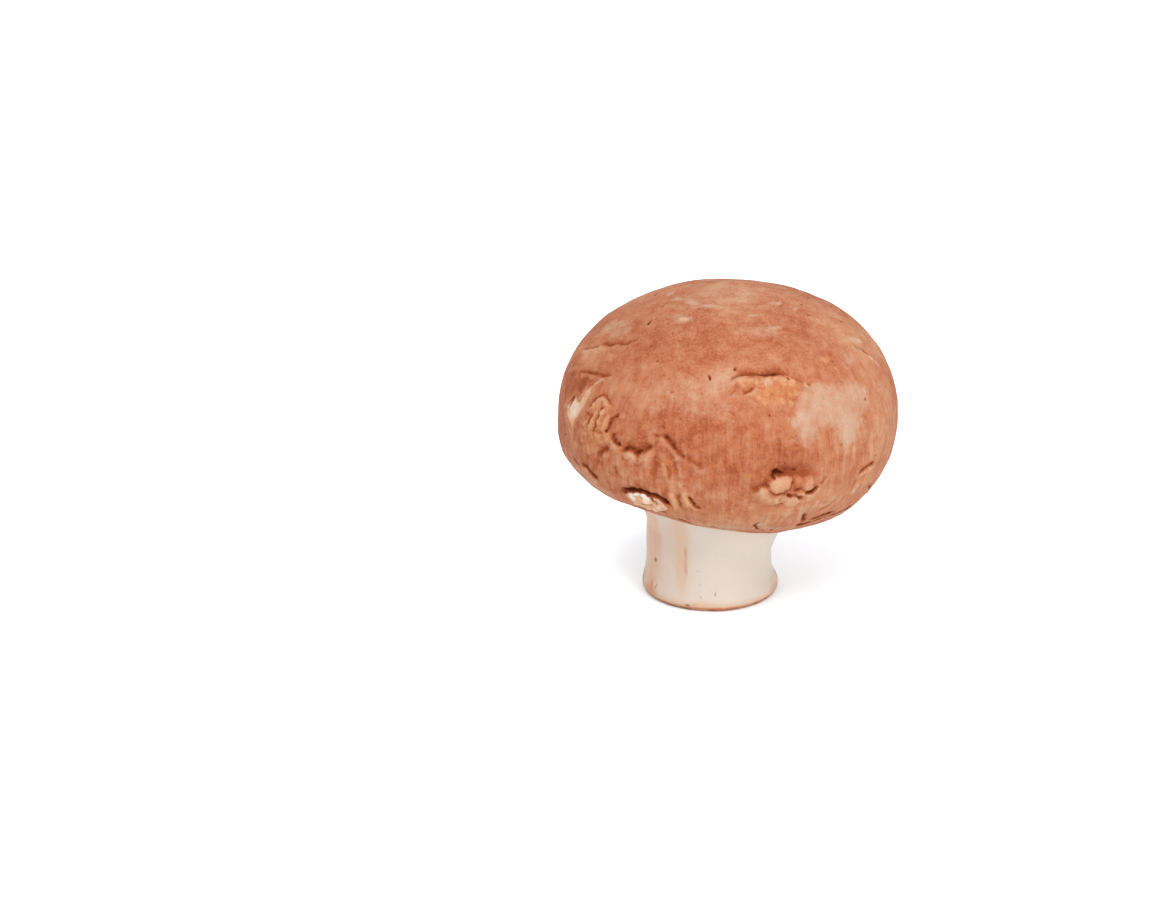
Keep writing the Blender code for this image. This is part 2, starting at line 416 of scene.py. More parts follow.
@dataclass(frozen=True)
class Patch:
    """A ragged-edged stretch of skin of another colour, level or texture."""

    outline: tuple[Place, ...]
    tints: Shares
    feather: float = 0.5
    ragged: float = 0.5
    depth: float = 0.0
    folds: float = 0.0
    lumps: float = 0.0
    rim: float = 0.0
    edge_stain: float = 0.0

    def inside(self, skin: SkinField) -> tuple[Numbers, Chart]:
        """Distance of each near point inside the outline, less than nothing outside it, and the chart."""
        corners = np.array([skin.form.place(*place) for place in self.outline])
        middle_place = tuple(sum(parts) / len(parts) for parts in zip(*self.outline))
        middle = skin.form.place(*middle_place)
        reach = np.linalg.norm(corners - middle, axis=1).max() + PATCH_REACH + 2 * self.feather + self.ragged
        chart = skin.near(middle_place, reach)
        flat = chart.flat(corners, middle)
        u, v = chart.right, chart.up
        best = np.full(len(u), np.inf)
        crossed = np.zeros(len(u), bool)
        for start, end in zip(flat, np.roll(flat, -1, axis=0)):
            step = end - start
            _, gap_u, gap_v = from_segment(u, v, start, step)
            best = np.minimum(best, np.hypot(gap_u, gap_v))
            spans = (start[1] > v) != (end[1] > v)
            rise = step[1] if abs(step[1]) > 1e-9 else 1e-9
            crossed ^= spans & (u < start[0] + (v - start[1]) / rise * step[0])
        return np.where(crossed, best, -best), chart

    def apply(self, skin: SkinField) -> None:
        """Colours the stretch and lowers or folds it."""
        depth_in, chart = self.inside(skin)
        ids = chart.ids
        depth_in = depth_in + self.ragged * (0.7 * skin.fine[ids] + 0.7 * skin.coarse[ids])
        share = smooth_step(-self.feather, self.feather, depth_in)
        for tint, amount in self.tints.items():
            skin.lay(tint, share * amount, ids)
        skin.height[ids] -= self.depth * share
        skin.height[ids] += self.folds * share * (skin.streak[ids] + 0.5 * skin.fine[ids])
        skin.height[ids] += self.lumps * share * (skin.fine[ids] + 0.6 * skin.beads[ids])
        if self.rim:
            skin.height[ids] += self.rim * bell(depth_in + 0.35, 0.35)
        if self.edge_stain:
            skin.lay(STAIN, self.edge_stain * bell(depth_in + 0.1, 0.18), ids)


@dataclass(frozen=True)
class Spot:
    """An oval on the skin, with its half width and half height in millimetres and its lean in degrees."""

    place: Place
    across: float
    tall: float
    lean: float = field(default=0.0, kw_only=True)

    def measure(self, skin: SkinField, reach: float) -> tuple[Chart, Numbers, Numbers]:
        """The chart of the points within reach, and their places in the oval, 1 at its edge."""
        chart = skin.near(self.place, reach)
        return chart, *in_oval(chart.right, chart.up, self.lean, self.across, self.tall)

    @property
    def size(self) -> float:
        """The longer of the half width and the half height."""
        return max(self.across, self.tall)


@dataclass(frozen=True)
class Knob(Spot):
    """A round lump, painted lighter on top and darker round its foot and under its brow, as if lit from
    above.
    """

    height: float
    tints: Shares
    # shade is the strength of the painted shadow under the lump; ring is that of the red-brown painted shade
    # round its foot.
    shade: float = 0.35
    ring: float = 0.8

    def apply(self, skin: SkinField) -> None:
        """Raises the lump, colours it, and paints light on its top and shade round and under it."""
        chart, u, v = self.measure(skin, 2.5 * self.size)
        ids = chart.ids
        away = np.hypot(u, v) + 0.16 * skin.fine[ids] + 0.08 * skin.beads[ids]
        dome = np.sqrt(np.clip(1 - (away / 1.08) ** 2, 0, 1))
        skin.height[ids] += self.height * dome * (1 + 0.4 * skin.fine_too[ids])
        share = 1 - smooth_step(0.70, 1.05, away)
        skin.tints[STAIN][ids] *= 1 - share
        # Painted light: the tints are stronger on the lump's top and left, as if lit from above.
        lit = np.clip(0.72 + 0.45 * (v - 0.3 * u), 0.15, 1)
        for tint, amount in self.tints.items():
            skin.lay(tint, amount * share * lit, ids)
        # Painted shade: a red-brown ring round the lump's foot and a dark shadow under its lower edge.
        skin.lay(RUDDY, self.ring * bell(away - 1.05, 0.22), ids)
        skin.lay(STAIN, self.shade * bell(away - 1.08, 0.16) * np.clip(0.2 - v, 0, 1), ids)


@dataclass(frozen=True)
class Pit(Spot):
    """A small hollow, darkened with brown stain and painted shade."""

    depth: float
    stain: float = 0.95

    def apply(self, skin: SkinField) -> None:
        """Sinks the hollow and darkens it."""
        chart, u, v = self.measure(skin, 3.0 * self.size + 0.6)
        away = np.hypot(u, v) + 0.2 * skin.fine[chart.ids] + 0.15 * skin.beads[chart.ids]
        skin.height[chart.ids] -= self.depth * (1 - smooth_step(0.2, 1.25, away))
        # The darkening is brown stain and painted shade in the hollow.
        skin.lay(STAIN, self.stain * (1 - smooth_step(0.4, 1.45, away)), chart.ids)


@dataclass(frozen=True)
class Wash(Spot):
    """A soft stretch of another colour, with no relief of its own."""

    tint: Tint
    amount: float
    ragged: float = 0.35

    def apply(self, skin: SkinField) -> None:
        """Colours the stretch."""
        chart, u, v = self.measure(skin, 2.2 * self.size)
        away = np.hypot(u, v) + self.ragged * skin.coarse[chart.ids]
        skin.lay(self.tint, self.amount * (1 - smooth_step(0.3, 1.35, away)), chart.ids)


Mark = Rise | Crease | Ridge | Patch | Knob | Pit | Wash


def broad_marks() -> list[Mark]:
    """The broad swellings and colours of the front."""
    return [
        Rise((-62, 47), 6, -0.45), Rise((-8, 66), 7, -0.35), Rise((12, 61), 4.2, 0.35),
        Rise((-50, 81), 3.6, 0.4), Rise((-33, 94), 4.6, 0.45), Rise((19, 91), 2.6, -0.45),
        Rise((54, 100), 2.6, 0.4), Rise((-92, 34), 7, -0.3), Rise((112, 50), 6, 0.22),
        Rise((-52, 107), 5, 0.42), Rise((-72, 97), 2.5, -0.12), Rise((40, 105), 3.6, 0.2),
        Rise((0, 2), 8, -0.08), Wash((-52, 40), 12, 7, RUDDY, 0.55), Wash((58, 34), 10, 5, RUDDY, 0.45),
        Wash((-5, 83), 12, 6, RUDDY, 0.62), Wash((42, 46), 7, 4, RUDDY, 0.4),
        Wash((16, 88), 7, 4.5, RUDDY, 0.6), Wash((-38, 80), 4, 2.4, RUDDY, 0.3),
        Wash((-78, 84), 4, 8, RUDDY, 0.45), Wash((-50, 25), 7, 4, RUDDY, 0.5),
        Wash((48, 20), 6, 3, RUDDY, 0.35), Wash((-37, 67), 5, 2.6, PALE, 0.35),
        Wash((-78, 52), 4, 4, PALE, 0.35), Wash((68, 45), 6, 4, PALE, 0.85),
        Wash((69, 57), 3.6, 4, PALE, 0.6), Wash((57, 84), 4, 5, PALE, 0.4),
        Wash((55, 94), 2.6, 2, PALE, 0.6), Wash((-51, 87.5), 3.4, 3.2, AMBER, 0.6),
        Wash((-52, 93.5), 5, 3.2, RUDDY, 0.6), Wash((-8, 110), 12, 4, AMBER, 0.35),
        Wash((86, 52), 5, 9, PALE, 0.55), Wash((-66, 104), 8, 3, PALE, 0.2),
        Wash((0, 12), 14, 8, PALE, 0.5), Wash((10, 10), 13, 6, SCUFF, 0.3),
        Wash((40, 108), 9, 5, PALE, 0.45), Wash((-20, 116), 14, 3, PALE, 0.35),
        Wash((68, 78), 4.5, 9, PALE, 0.5), Wash((-2, 56), 4.5, 2.2, PALE, 0.55, lean=25),
        Wash((4, 118), 7, 3, PALE, 0.6),
        Patch(((-34.7, 61.6), (-26.6, 60.8), (-20.7, 59.2), (-13.4, 59.5), (-9.6, 57.8), (-5.1, 55.2),
            (-1.4, 53.1), (1.9, 53.6), (0.7, 57.1), (-2.4, 59.5), (-2.3, 66.3), (0.9, 69.2), (-1.3, 75.1),
            (-6.4, 73.6), (-12.6, 72.2), (-19, 71.1), (-22.5, 69.7), (-27.1, 67.3), (-31.4, 65.2)),
            {SCUFF: 0.36}, feather=2.4, ragged=1.2),
        Wash((-6, 60), 3.4, 1.8, SCUFF, 0.32, lean=15), Wash((-20, 68), 7.5, 3.6, SCUFF, 0.24, lean=-4),
    ]


def amber_knob(place: Place, across: float, tall: float, height: float, tints: Shares,
               shade: float = 0.12) -> Knob:
    """A low lump of the amber skin under the wavy crease."""
    return Knob(place, across, tall, height, tints, shade=shade, ring=0.45)


def middle_marks() -> list[Mark]:
    """The wavy crease over its amber skin in the middle, and the cool scuff to its right."""
    return [
        Patch(((25.2, 66), (29, 63.8), (33, 62.9), (38, 64.6), (43.1, 65.6), (51.8, 67.6), (57.4, 71.4),
            (55.6, 75), (51.9, 78.6), (48.6, 82.2), (46, 86.6), (41.4, 88), (38.4, 86.4), (37.6, 82),
            (34.6, 79.9), (30.6, 80.2), (28.6, 83.2), (22.3, 83.9), (19.8, 81), (21.2, 78.2), (20.1, 74.1),
            (22.3, 70.7)), {SCUFF: 0.74}, feather=1.1, ragged=0.8, depth=0.04),
        Wash((42.5, 83), 1.8, 3.4, PALE, 0.9, lean=8), Wash((24, 75), 2.4, 1.8, PALE, 0.7),
        Wash((54.5, 72), 1.2, 1.4, PALE, 0.9), Wash((38, 70), 4.5, 2.4, PALE, 0.4),
        Patch(((2, 61), (6, 59.4), (13.2, 60.2), (20, 59.8), (26, 62), (25.4, 67), (20, 70), (13, 69),
            (7.5, 67.6), (4, 65)), {AMBER: 0.74}, feather=1, ragged=0.8, depth=-0.08, lumps=0.16),
        Crease(((-1.5, 60), (-0.1, 58.7), (2.1, 57.9), (5.1, 57.7), (8.1, 57.9), (12, 58.5), (15, 58.6),
            (18.2, 58.4), (20.4, 58.8), (21.9, 59.3)), 0.3, 0.4, lip=0.3, overhang=0.15, stain=0.42,
            bruise_and_shade=0.8, wander=0.16),
        Wash((14.4, 58.7), 1.9, 0.55, STAIN, 0.55), Wash((12.4, 58), 3.4, 1.1, RUDDY, 1),
        Pit((12.2, 58.9), 0.7, 0.3, 0.16, lean=-14, stain=0.35),
        Pit((17, 58.5), 0.5, 0.24, 0.14, lean=15, stain=0.35),
        Crease(((20.4, 58.8), (25.2, 60.9), (29.2, 63.4)), 0.12, 0.24, lip=0.06, stain=0.22, bruise_and_shade=0.2),
        Crease(((3.7, 64.7), (5.8, 63.8), (7.7, 63)), 0.28, 0.28, lip=0.22, stain=0.55, bruise_and_shade=0.4,
            wander=0.05),
        amber_knob((3.6, 61), 0.8, 0.65, 0.16, {AMBER: 0.4}),
        amber_knob((7, 60.8), 0.85, 0.6, 0.2, {AMBER: 0.5, SCUFF: 0.25}),
        amber_knob((10.4, 61.6), 0.8, 0.6, 0.22, {AMBER: 0.5, SCUFF: 0.5}, shade=0.15),
        amber_knob((13.4, 61.8), 0.7, 0.7, 0.24, {AMBER: 0.4, SCUFF: 0.7}, shade=0.15),
        amber_knob((16.8, 60.9), 0.65, 0.5, 0.2, {AMBER: 0.7, SCUFF: 0.3}, shade=0.2),
        amber_knob((19.8, 61.6), 0.7, 0.65, 0.18, {AMBER: 0.6, SCUFF: 0.4}, shade=0.15),
        amber_knob((23, 62.2), 0.7, 0.6, 0.14, {AMBER: 0.6, SCUFF: 0.3}),
        amber_knob((8.6, 64), 0.75, 0.55, 0.18, {AMBER: 0.5, SCUFF: 0.5}, shade=0.15),
        amber_knob((12.4, 64.2), 0.8, 0.65, 0.16, {AMBER: 0.6, SCUFF: 0.3}),
        amber_knob((16, 64), 0.8, 0.7, 0.14, {AMBER: 0.6}),
        amber_knob((9.8, 66.2), 0.7, 0.6, 0.1, {AMBER: 0.4}, shade=0),
        Wash((28.6, 63.3), 0.5, 0.24, SCUFF, 0.9, lean=-25),
        Pit((30, 63.6), 0.26, 0.14, 0.12, lean=-20, stain=0.6),
        Pit((21.8, 60.6), 0.2, 0.2, 0.15, stain=0.6), Pit((20.2, 59.6), 0.18, 0.16, 0.12, stain=0.55),
        Pit((19.3, 56.6), 0.2, 0.26, 0.12, stain=0.45), Pit((13.8, 56.4), 0.24, 0.16, 0.1, stain=0.4),
        Pit((0.7, 55.1), 0.18, 0.34, 0.2, lean=-12, stain=0.75),
        Pit((-9.7, 58.5), 0.18, 0.46, 0.24, lean=14, stain=0.85),
        Pit((12.5, 72.3), 0.2, 0.17, 0.12, stain=0.8), Pit((-34.6, 54.8), 0.2, 0.24, 0.1, stain=0.5),
        Pit((-35.1, 65.4), 0.15, 0.15, 0.1, stain=0.4), Pit((-23.6, 65.3), 0.42, 0.11, 0.1, stain=0.4),
        Pit((54.4, 73.9), 0.2, 0.18, 0.12, stain=0.7), Pit((56.5, 72.6), 0.2, 0.16, 0.12, stain=0.5),
        Pit((38.9, 86), 0.2, 0.22, 0.12, stain=0.5), Pit((57.7, 94.7), 0.3, 0.18, 0.12, stain=0.5),
        Crease(((-1.8, 65.4), (-0.6, 64.2), (0.6, 63.4)), 0.14, 0.14, lip=0.08, stain=0.35, wander=0),
        Ridge(((-0.6, 66), (0.6, 64.8)), 0.08, 0.14, SCUFF, 0.7, wander=0),
        Crease(((-2, 70.6), (-0.4, 71.4), (1, 72.6)), 0.12, 0.14, lip=0.08, stain=0.3, wander=0),
    ]


def crown_marks() -> list[Mark]:
    """Streaks and specks near the crown."""
    return [
        Wash((-38, 32.3), 1.5, 0.6, FLESH, 0.62, lean=4, ragged=0.5),
        Wash((-40, 32.6), 2.4, 1.2, SCUFF, 0.7), Wash((20, 27.4), 1.1, 0.4, SCUFF, 0.95),
        Wash((59.2, 23.9), 0.8, 0.4, SCUFF, 0.8), Wash((62.6, 30.9), 0.9, 0.4, SCUFF, 0.8),
        Wash((8.7, 12.1), 2.2, 0.8, PALE, 0.9), Wash((30.4, 37.1), 1.3, 0.5, SCUFF, 0.8),
        Wash((19.1, 38.7), 3.4, 1.6, SCUFF, 0.45), Wash((-78.5, 22.4), 1.4, 0.7, SCUFF, 0.7, lean=10),
        Wash((-51.1, 20.6), 1.1, 0.5, SCUFF, 0.8), Wash((-22.3, 20.1), 1.4, 0.5, SCUFF, 0.85),
        Wash((-128, 9), 3.4, 1.6, PALE, 0.9), Wash((94, 6), 2.6, 1, PALE, 0.7),
        Wash((-6, 26), 2.4, 0.7, PALE, 0.5), Pit((-59.8, 39.8), 0.26, 0.32, 0.16, stain=0.9),
        Pit((-61, 38.4), 0.2, 0.3, 0.1, stain=0.5), Pit((-36.1, 41.2), 0.24, 0.2, 0.12, stain=0.7),
        Pit((-34.2, 23.8), 0.24, 0.2, 0.12, stain=0.65), Pit((-72.9, 29.5), 0.2, 0.2, 0.1, stain=0.6),
        Pit((-26.9, 15.4), 0.2, 0.16, 0.1, stain=0.6), Pit((-107, 32.4), 0.3, 0.24, 0.14, stain=0.9),
        Pit((75.4, 31.2), 0.24, 0.2, 0.14, stain=0.85), Pit((100.8, 44.3), 0.3, 0.26, 0.14, stain=0.8),
        Pit((81.2, 47.4), 0.26, 0.2, 0.12, stain=0.7), Pit((63.8, 36.3), 0.2, 0.2, 0.1, stain=0.6),
        Pit((-46, 36.5), 0.18, 0.16, 0.1, stain=0.5), Pit((-12, 27), 0.2, 0.14, 0.1, stain=0.45),
        Pit((38, 26), 0.2, 0.16, 0.1, stain=0.5),
    ]


def shoulder_marks() -> list[Mark]:
    """The creases at the upper left."""
    return [
        Patch(((-94, 53), (-92, 47.6), (-72.8, 42.3), (-63.4, 46.5), (-67.3, 52), (-73.1, 55.2)),
            {SCUFF: 0.45}, feather=1.1, ragged=1),
        Wash((-73, 62.5), 3.2, 1.8, PALE, 0.8, lean=12), Wash((-62, 58.5), 2.2, 1.3, AMBER, 0.5, lean=10),
        Wash((-88, 66), 1.4, 3, AMBER, 0.6, lean=-20),
        Crease(((-75, 56.6), (-69, 55.6), (-64, 53), (-59, 51.8), (-54.5, 48.2)), 0.26, 0.55, lip=0.2,
            stain=0.25, bruise_and_shade=0.5, wander=0.35),
        Crease(((-84, 63.5), (-78, 60.5), (-73, 57.6)), 0.22, 0.4, lip=0.16, stain=0.25, bruise_and_shade=0.3,
            wander=0.3),
    ]


def nick_marks() -> list[Mark]:
    """The nick at the upper right."""
    return [
        Ridge(((65.5, 52.4), (69.5, 52.9), (73.4, 54.6), (76, 57.4), (77.2, 60.6)), 0.16, 0.2, FLESH, 0.6),
        Wash((72.6, 55), 1.6, 0.6, SCUFF, 0.6, lean=-28),
        Ridge(((64, 55.5), (68, 57), (71.5, 60)), 0.14, 0.3, SCUFF, 0.8),
        Ridge(((70.5, 61), (73, 64.5), (75, 68)), 0.12, 0.26, SCUFF, 0.9),
        Crease(((66, 56), (70, 58.4), (73.4, 62)), 0.2, 0.3, stain=0.4, bruise_and_shade=0.3),
        Wash((72, 50), 1.6, 1.6, AMBER, 0.5), Wash((58, 58), 2.6, 1.4, SCUFF, 0.45),
        Wash((44, 56), 1.2, 0.8, AMBER, 0.7), Pit((47, 57.4), 0.2, 0.2, 0.12, stain=0.5),
    ]


def margin_marks() -> list[Mark]:
    """The fold near the right edge, and hooks, cuts and shadows along the margin."""
    return [
        Crease(((48.6, 99.2), (51, 97.9), (53.6, 97.3), (57.8, 97.4)), 0.45, 0.28, lip=0.32, overhang=0.12,
            stain=0.5, bruise_and_shade=0.6, wander=0.08),
        Crease(((47.6, 100.6), (46.8, 103.2)), 0.2, 0.24, stain=0.35),
        Wash((54, 102), 2.4, 1.6, AMBER, 0.7),
        Ridge(((50, 102), (49, 105), (49.4, 108)), 0.12, 0.5, SCUFF, 0.6),
        Crease(((60.5, 107.5), (65, 110.5), (69, 113.5)), 0.3, 0.26, lip=0.1),
        Crease(((12.2, 114), (10.6, 115.3), (10.4, 116.8), (12.7, 120)), 0.3, 0.2, wander=0.08),
        Wash((13.2, 116), 0.7, 0.6, SCUFF, 0.7), Pit((12.8, 120), 0.3, 0.24, 0.2, stain=0.9),
        Crease(((29, 119.4), (33, 119.9), (36.1, 119.2), (39.5, 118.4), (44, 118)), 0.3, 0.5, stain=1,
            wander=0.08),
        Crease(((33.6, 116.2), (37.6, 115.7), (41, 115.2), (45, 115)), 0.26, 0.36, lip=0.14, stain=0.9,
            wander=0.06),
        Crease(((45, 117.8), (52, 117.6), (58, 115.4)), 0.18, 0.34, wander=0.1),
        Wash((34, 115.6), 1.6, 0.7, SCUFF, 0.6), Pit((37.4, 118.6), 0.8, 0.34, 0.25, lean=15, stain=1),
        Ridge(((39.6, 119.4), (43.2, 118.6), (46, 117.4)), 0.1, 0.14, FLESH, 0.6),
        Pit((-5.4, 119.9), 0.55, 0.26, 0.2, stain=0.9), Pit((15.4, 121.4), 0.3, 0.3, 0.15, stain=0.8),
        Pit((19.6, 121.8), 0.3, 0.3, 0.15, stain=0.8),
        Ridge(((-14, 121), (-6, 123), (2, 123.6), (9, 122)), 0.1, 0.5, SCUFF, 0.8),
        Wash((-4, 120), 5, 0.8, SCUFF, 0.6), Wash((18, 120), 4, 1, SCUFF, 0.5),
    ]


def crack_marks() -> list[Mark]:
    """The long dark crack at the lower left, its branches and the pleats that hang from it."""
    return [
        Patch(((-34, 91), (-27, 86.5), (-20, 86.5), (-12, 91), (-11, 106), (-24, 104), (-33, 99)), {},
            feather=1.8, ragged=0.8, folds=0.13, lumps=0.06),
        Patch(((-56, 93), (-46, 90), (-36, 91), (-34, 99), (-42, 102), (-56, 99)), {}, feather=1.5,
            lumps=0.12),
        Rise((-37, 93), 3, 0.22), Rise((-42, 86), 1.8, 0.2),
        Crease(((-43.6, 82.8), (-42.3, 84.6), (-40.7, 85.8), (-39.5, 86.2)), 0.3, 0.55, lip=0.16,
            stain=0.6, bruise_and_shade=0.6),
        Pit((-40, 86.1), 0.34, 0.26, 0.3, stain=0.75),
        Crease(((-39, 87.8), (-36.2, 86.7), (-33.9, 86.9), (-32.6, 87.6), (-31.4, 86.6), (-30, 85.9),
            (-28.2, 85), (-26.6, 84)), 0.42, 0.66, lip=0.26, overhang=0.12, stain=0.62, bruise_and_shade=1,
            wander=0.16),
        Pit((-32.7, 87.6), 0.5, 0.3, 0.22, stain=0.5), Wash((-33.5, 86), 2.4, 0.8, RUDDY, 0.8),
        Crease(((-27.9, 80.6), (-25.4, 80.9), (-23.7, 80.2)), 0.12, 0.3, stain=0.3, bruise_and_shade=0.3),
        Crease(((-23.8, 79.8), (-22.2, 81.5), (-20.5, 83.1), (-18.7, 84.9)), 0.42, 0.48, lip=0.14,
            overhang=0.1, stain=0.7, bruise_and_shade=0.6, wander=0.12),
        Crease(((-19, 85.3), (-17.7, 86.1), (-16.4, 86.6)), 0.26, 0.42, lip=0.1, stain=0.55, bruise_and_shade=0.3),
        Crease(((-16.6, 86.5), (-14.7, 88), (-12, 89.5), (-9, 91)), 0.14, 0.45, lip=0.06, stain=0.2,
            bruise_and_shade=0.35),
        Pit((-23.9, 77.7), 0.2, 0.17, 0.12, stain=0.5), Pit((-24.3, 77), 0.12, 0.12, 0.1, stain=0.45),
        Crease(((-49.7, 92), (-47.7, 90.4), (-46.1, 89.3), (-44.3, 88.4)), 0.26, 0.6, lip=0.12, stain=0.5,
            bruise_and_shade=1),
        Crease(((-49.5, 91.9), (-48.8, 93.8), (-49.7, 96.4)), 0.15, 0.28, stain=0.25, bruise_and_shade=0.2),
        Crease(((-32.4, 88.1), (-31.5, 90.6)), 0.2, 0.28, stain=0.3),
        Crease(((-26.3, 87), (-25.9, 90), (-25.5, 94.2)), 0.16, 0.32, stain=0.3, bruise_and_shade=0.4),
        Crease(((-22.4, 90.5), (-21.3, 92.5), (-20.7, 96)), 0.2, 0.4, stain=0.25, bruise_and_shade=0.4),
        Ridge(((-24.6, 85.6), (-23.8, 88.7), (-22.6, 92), (-21.9, 95.5)), 0.16, 0.42, AMBER, 0.4),
        Ridge(((-18.6, 87.5), (-17.4, 91), (-17, 95)), 0.14, 0.38, AMBER, 0.35),
        Ridge(((-28.6, 86.6), (-28.8, 89), (-29.6, 92)), 0.14, 0.42, AMBER, 0.35),
        Ridge(((-20.6, 85.4), (-19.4, 86.8), (-17.5, 88)), 0.1, 0.26, SCUFF, 0.45),
        Crease(((-66.2, 98.3), (-63.8, 99), (-61.5, 99.6)), 0.2, 0.3, lip=0.1, stain=0.4, bruise_and_shade=0.6,
            wander=0.08),
        Crease(((-59.3, 98.3), (-57.4, 98.4), (-55.6, 98.6), (-54.4, 99.2), (-52.5, 100.5), (-50, 101.8)),
            0.36, 0.36, lip=0.3, overhang=0.12, stain=0.75, bruise_and_shade=0.5, wander=0.06),
        Patch(((-67, 102), (-58, 100.4), (-49, 104), (-43, 107), (-50, 107), (-60, 104.5)),
            {PALE: 0.7, SCUFF: 0.4}, ragged=0.4),
    ]


def gash_marks() -> list[Mark]:
    """The white gash at the left."""
    return [
        Patch(((-81.9, 72.5), (-71.5, 68.2), (-61.6, 66.3), (-56.7, 66.4), (-58.8, 69.1), (-62.2, 71.8),
            (-64.4, 75), (-66.1, 77.8), (-68.1, 76.4), (-71.2, 80.6), (-76, 82)), {RUDDY: 0.75},
            feather=0.35, ragged=0.25, rim=0.1),
        Crease(((-72.5, 68.8), (-65.4, 67), (-60.2, 66.1), (-56.1, 65.8), (-52.8, 64.3)), 0.26, 0.4,
            lip=0.2, stain=0.35, bruise_and_shade=0.5, wander=0.18),
        Patch(((-60, 70), (-59.8, 73), (-60.4, 75.9), (-61.4, 78.6), (-63.1, 81.4), (-65.4, 84.8),
            (-67.4, 88.5), (-68.8, 86.2), (-72.4, 85), (-74, 83.7), (-72.3, 81.3), (-70.2, 78.8),
            (-68.1, 76.4), (-66.8, 77.5), (-64.5, 78.1), (-63.3, 75.8), (-62.3, 73), (-61.1, 70.9)),
            {FLESH: 1, PALE: 1}, feather=0.18, ragged=0.06, depth=0.3, rim=0.1, edge_stain=0.22),
        Wash((-67.5, 87), 0.8, 1.2, RUDDY, 0.5), Wash((-62, 74), 0.25, 1.6, SCUFF, 0.5, lean=25),
        Ridge(((-67, 78.5), (-67.6, 81.5), (-68, 85)), 0.1, 0.14, FLESH, 0.5),
        Crease(((-71.8, 82.5), (-70.9, 80.2), (-68.8, 76.6)), 0.2, 0.17, stain=0.55, wander=0.08),
    ]


def crinkle_marks() -> list[Mark]:
    """The crinkled tan skin beside the gash."""
    return [
        Ridge(((-59.4, 70.2), (-56.8, 68), (-54.2, 65.7)), 0.14, 0.17, SCUFF, 0.8, wander=0.06),
        Patch(((-58.4, 79.5), (-56.1, 75.3), (-52.6, 72), (-47, 73.7), (-44.9, 76.7), (-45.2, 80.6),
            (-43.8, 84.2), (-46.6, 89), (-50.3, 91.8), (-56.4, 92.3), (-60.9, 88.9), (-60.9, 83.3)),
            {AMBER: 0.45}, feather=0.6, ragged=0.4, depth=-0.1, lumps=0.13),
        Crease(((-57.5, 78.6), (-56, 75.8), (-54.3, 73.2), (-52.4, 71.6), (-49.2, 72.4), (-46.4, 74.3)),
            0.26, 0.24, lip=0.05, stain=0.5, wander=0.1),
        Ridge(((-55.2, 76.4), (-53.3, 74), (-51.3, 73.1), (-48.3, 74.8), (-47.2, 77)), 0.22, 0.3, AMBER,
            0.4),
        Ridge(((-51.7, 76.8), (-52.5, 79.2), (-53.9, 82), (-55.1, 84.6)), 0.32, 0.27, AMBER, 0.75),
        Ridge(((-48.7, 75.8), (-49.5, 77.9), (-49.9, 80), (-49.9, 82.4)), 0.32, 0.26, AMBER, 0.8),
        Ridge(((-55.5, 79.4), (-56.2, 81.6), (-57.5, 84)), 0.28, 0.25, AMBER, 0.7),
        Ridge(((-46.8, 77.5), (-47.1, 80.5), (-47.4, 84)), 0.14, 0.3, AMBER, 0.6),
        Wash((-53.2, 80.4), 0.3, 1.6, SCUFF, 0.3, lean=-16),
        Wash((-49.6, 79), 0.3, 1.4, SCUFF, 0.35, lean=-8),
        Crease(((-50.5, 77), (-50.9, 79.3), (-51.8, 82.6), (-52.6, 85)), 0.26, 0.2, stain=0.5),
        Crease(((-54.5, 78.8), (-54.9, 81), (-56, 84)), 0.22, 0.2, stain=0.45),
        Crease(((-58.6, 79.4), (-57, 79.9), (-54.9, 80)), 0.2, 0.2, stain=0.35),
        Pit((-50.3, 76.2), 0.17, 0.26, 0.28, lean=-25, stain=0.9),
        Pit((-56.6, 79.5), 0.2, 0.14, 0.2, stain=0.8),
        Crease(((-42.1, 75.7), (-43.2, 77.1), (-44.9, 78.3), (-45.2, 80.4), (-46, 82.8)), 0.34, 0.22,
            stain=0.75, wander=0.1),
        Pit((-46.1, 82.9), 0.26, 0.18, 0.25), Wash((-40.9, 76.4), 0.6, 0.45, PALE, 0.8),
        Crease(((-54, 84.8), (-50, 84.4), (-46.5, 84.2)), 0.12, 0.2, lip=0.06, stain=0.25),
        Pit((-57.2, 88), 0.2, 0.26, 0.12, stain=0.5), Pit((-72.4, 92), 0.22, 0.2, 0.12, stain=0.6),
    ]


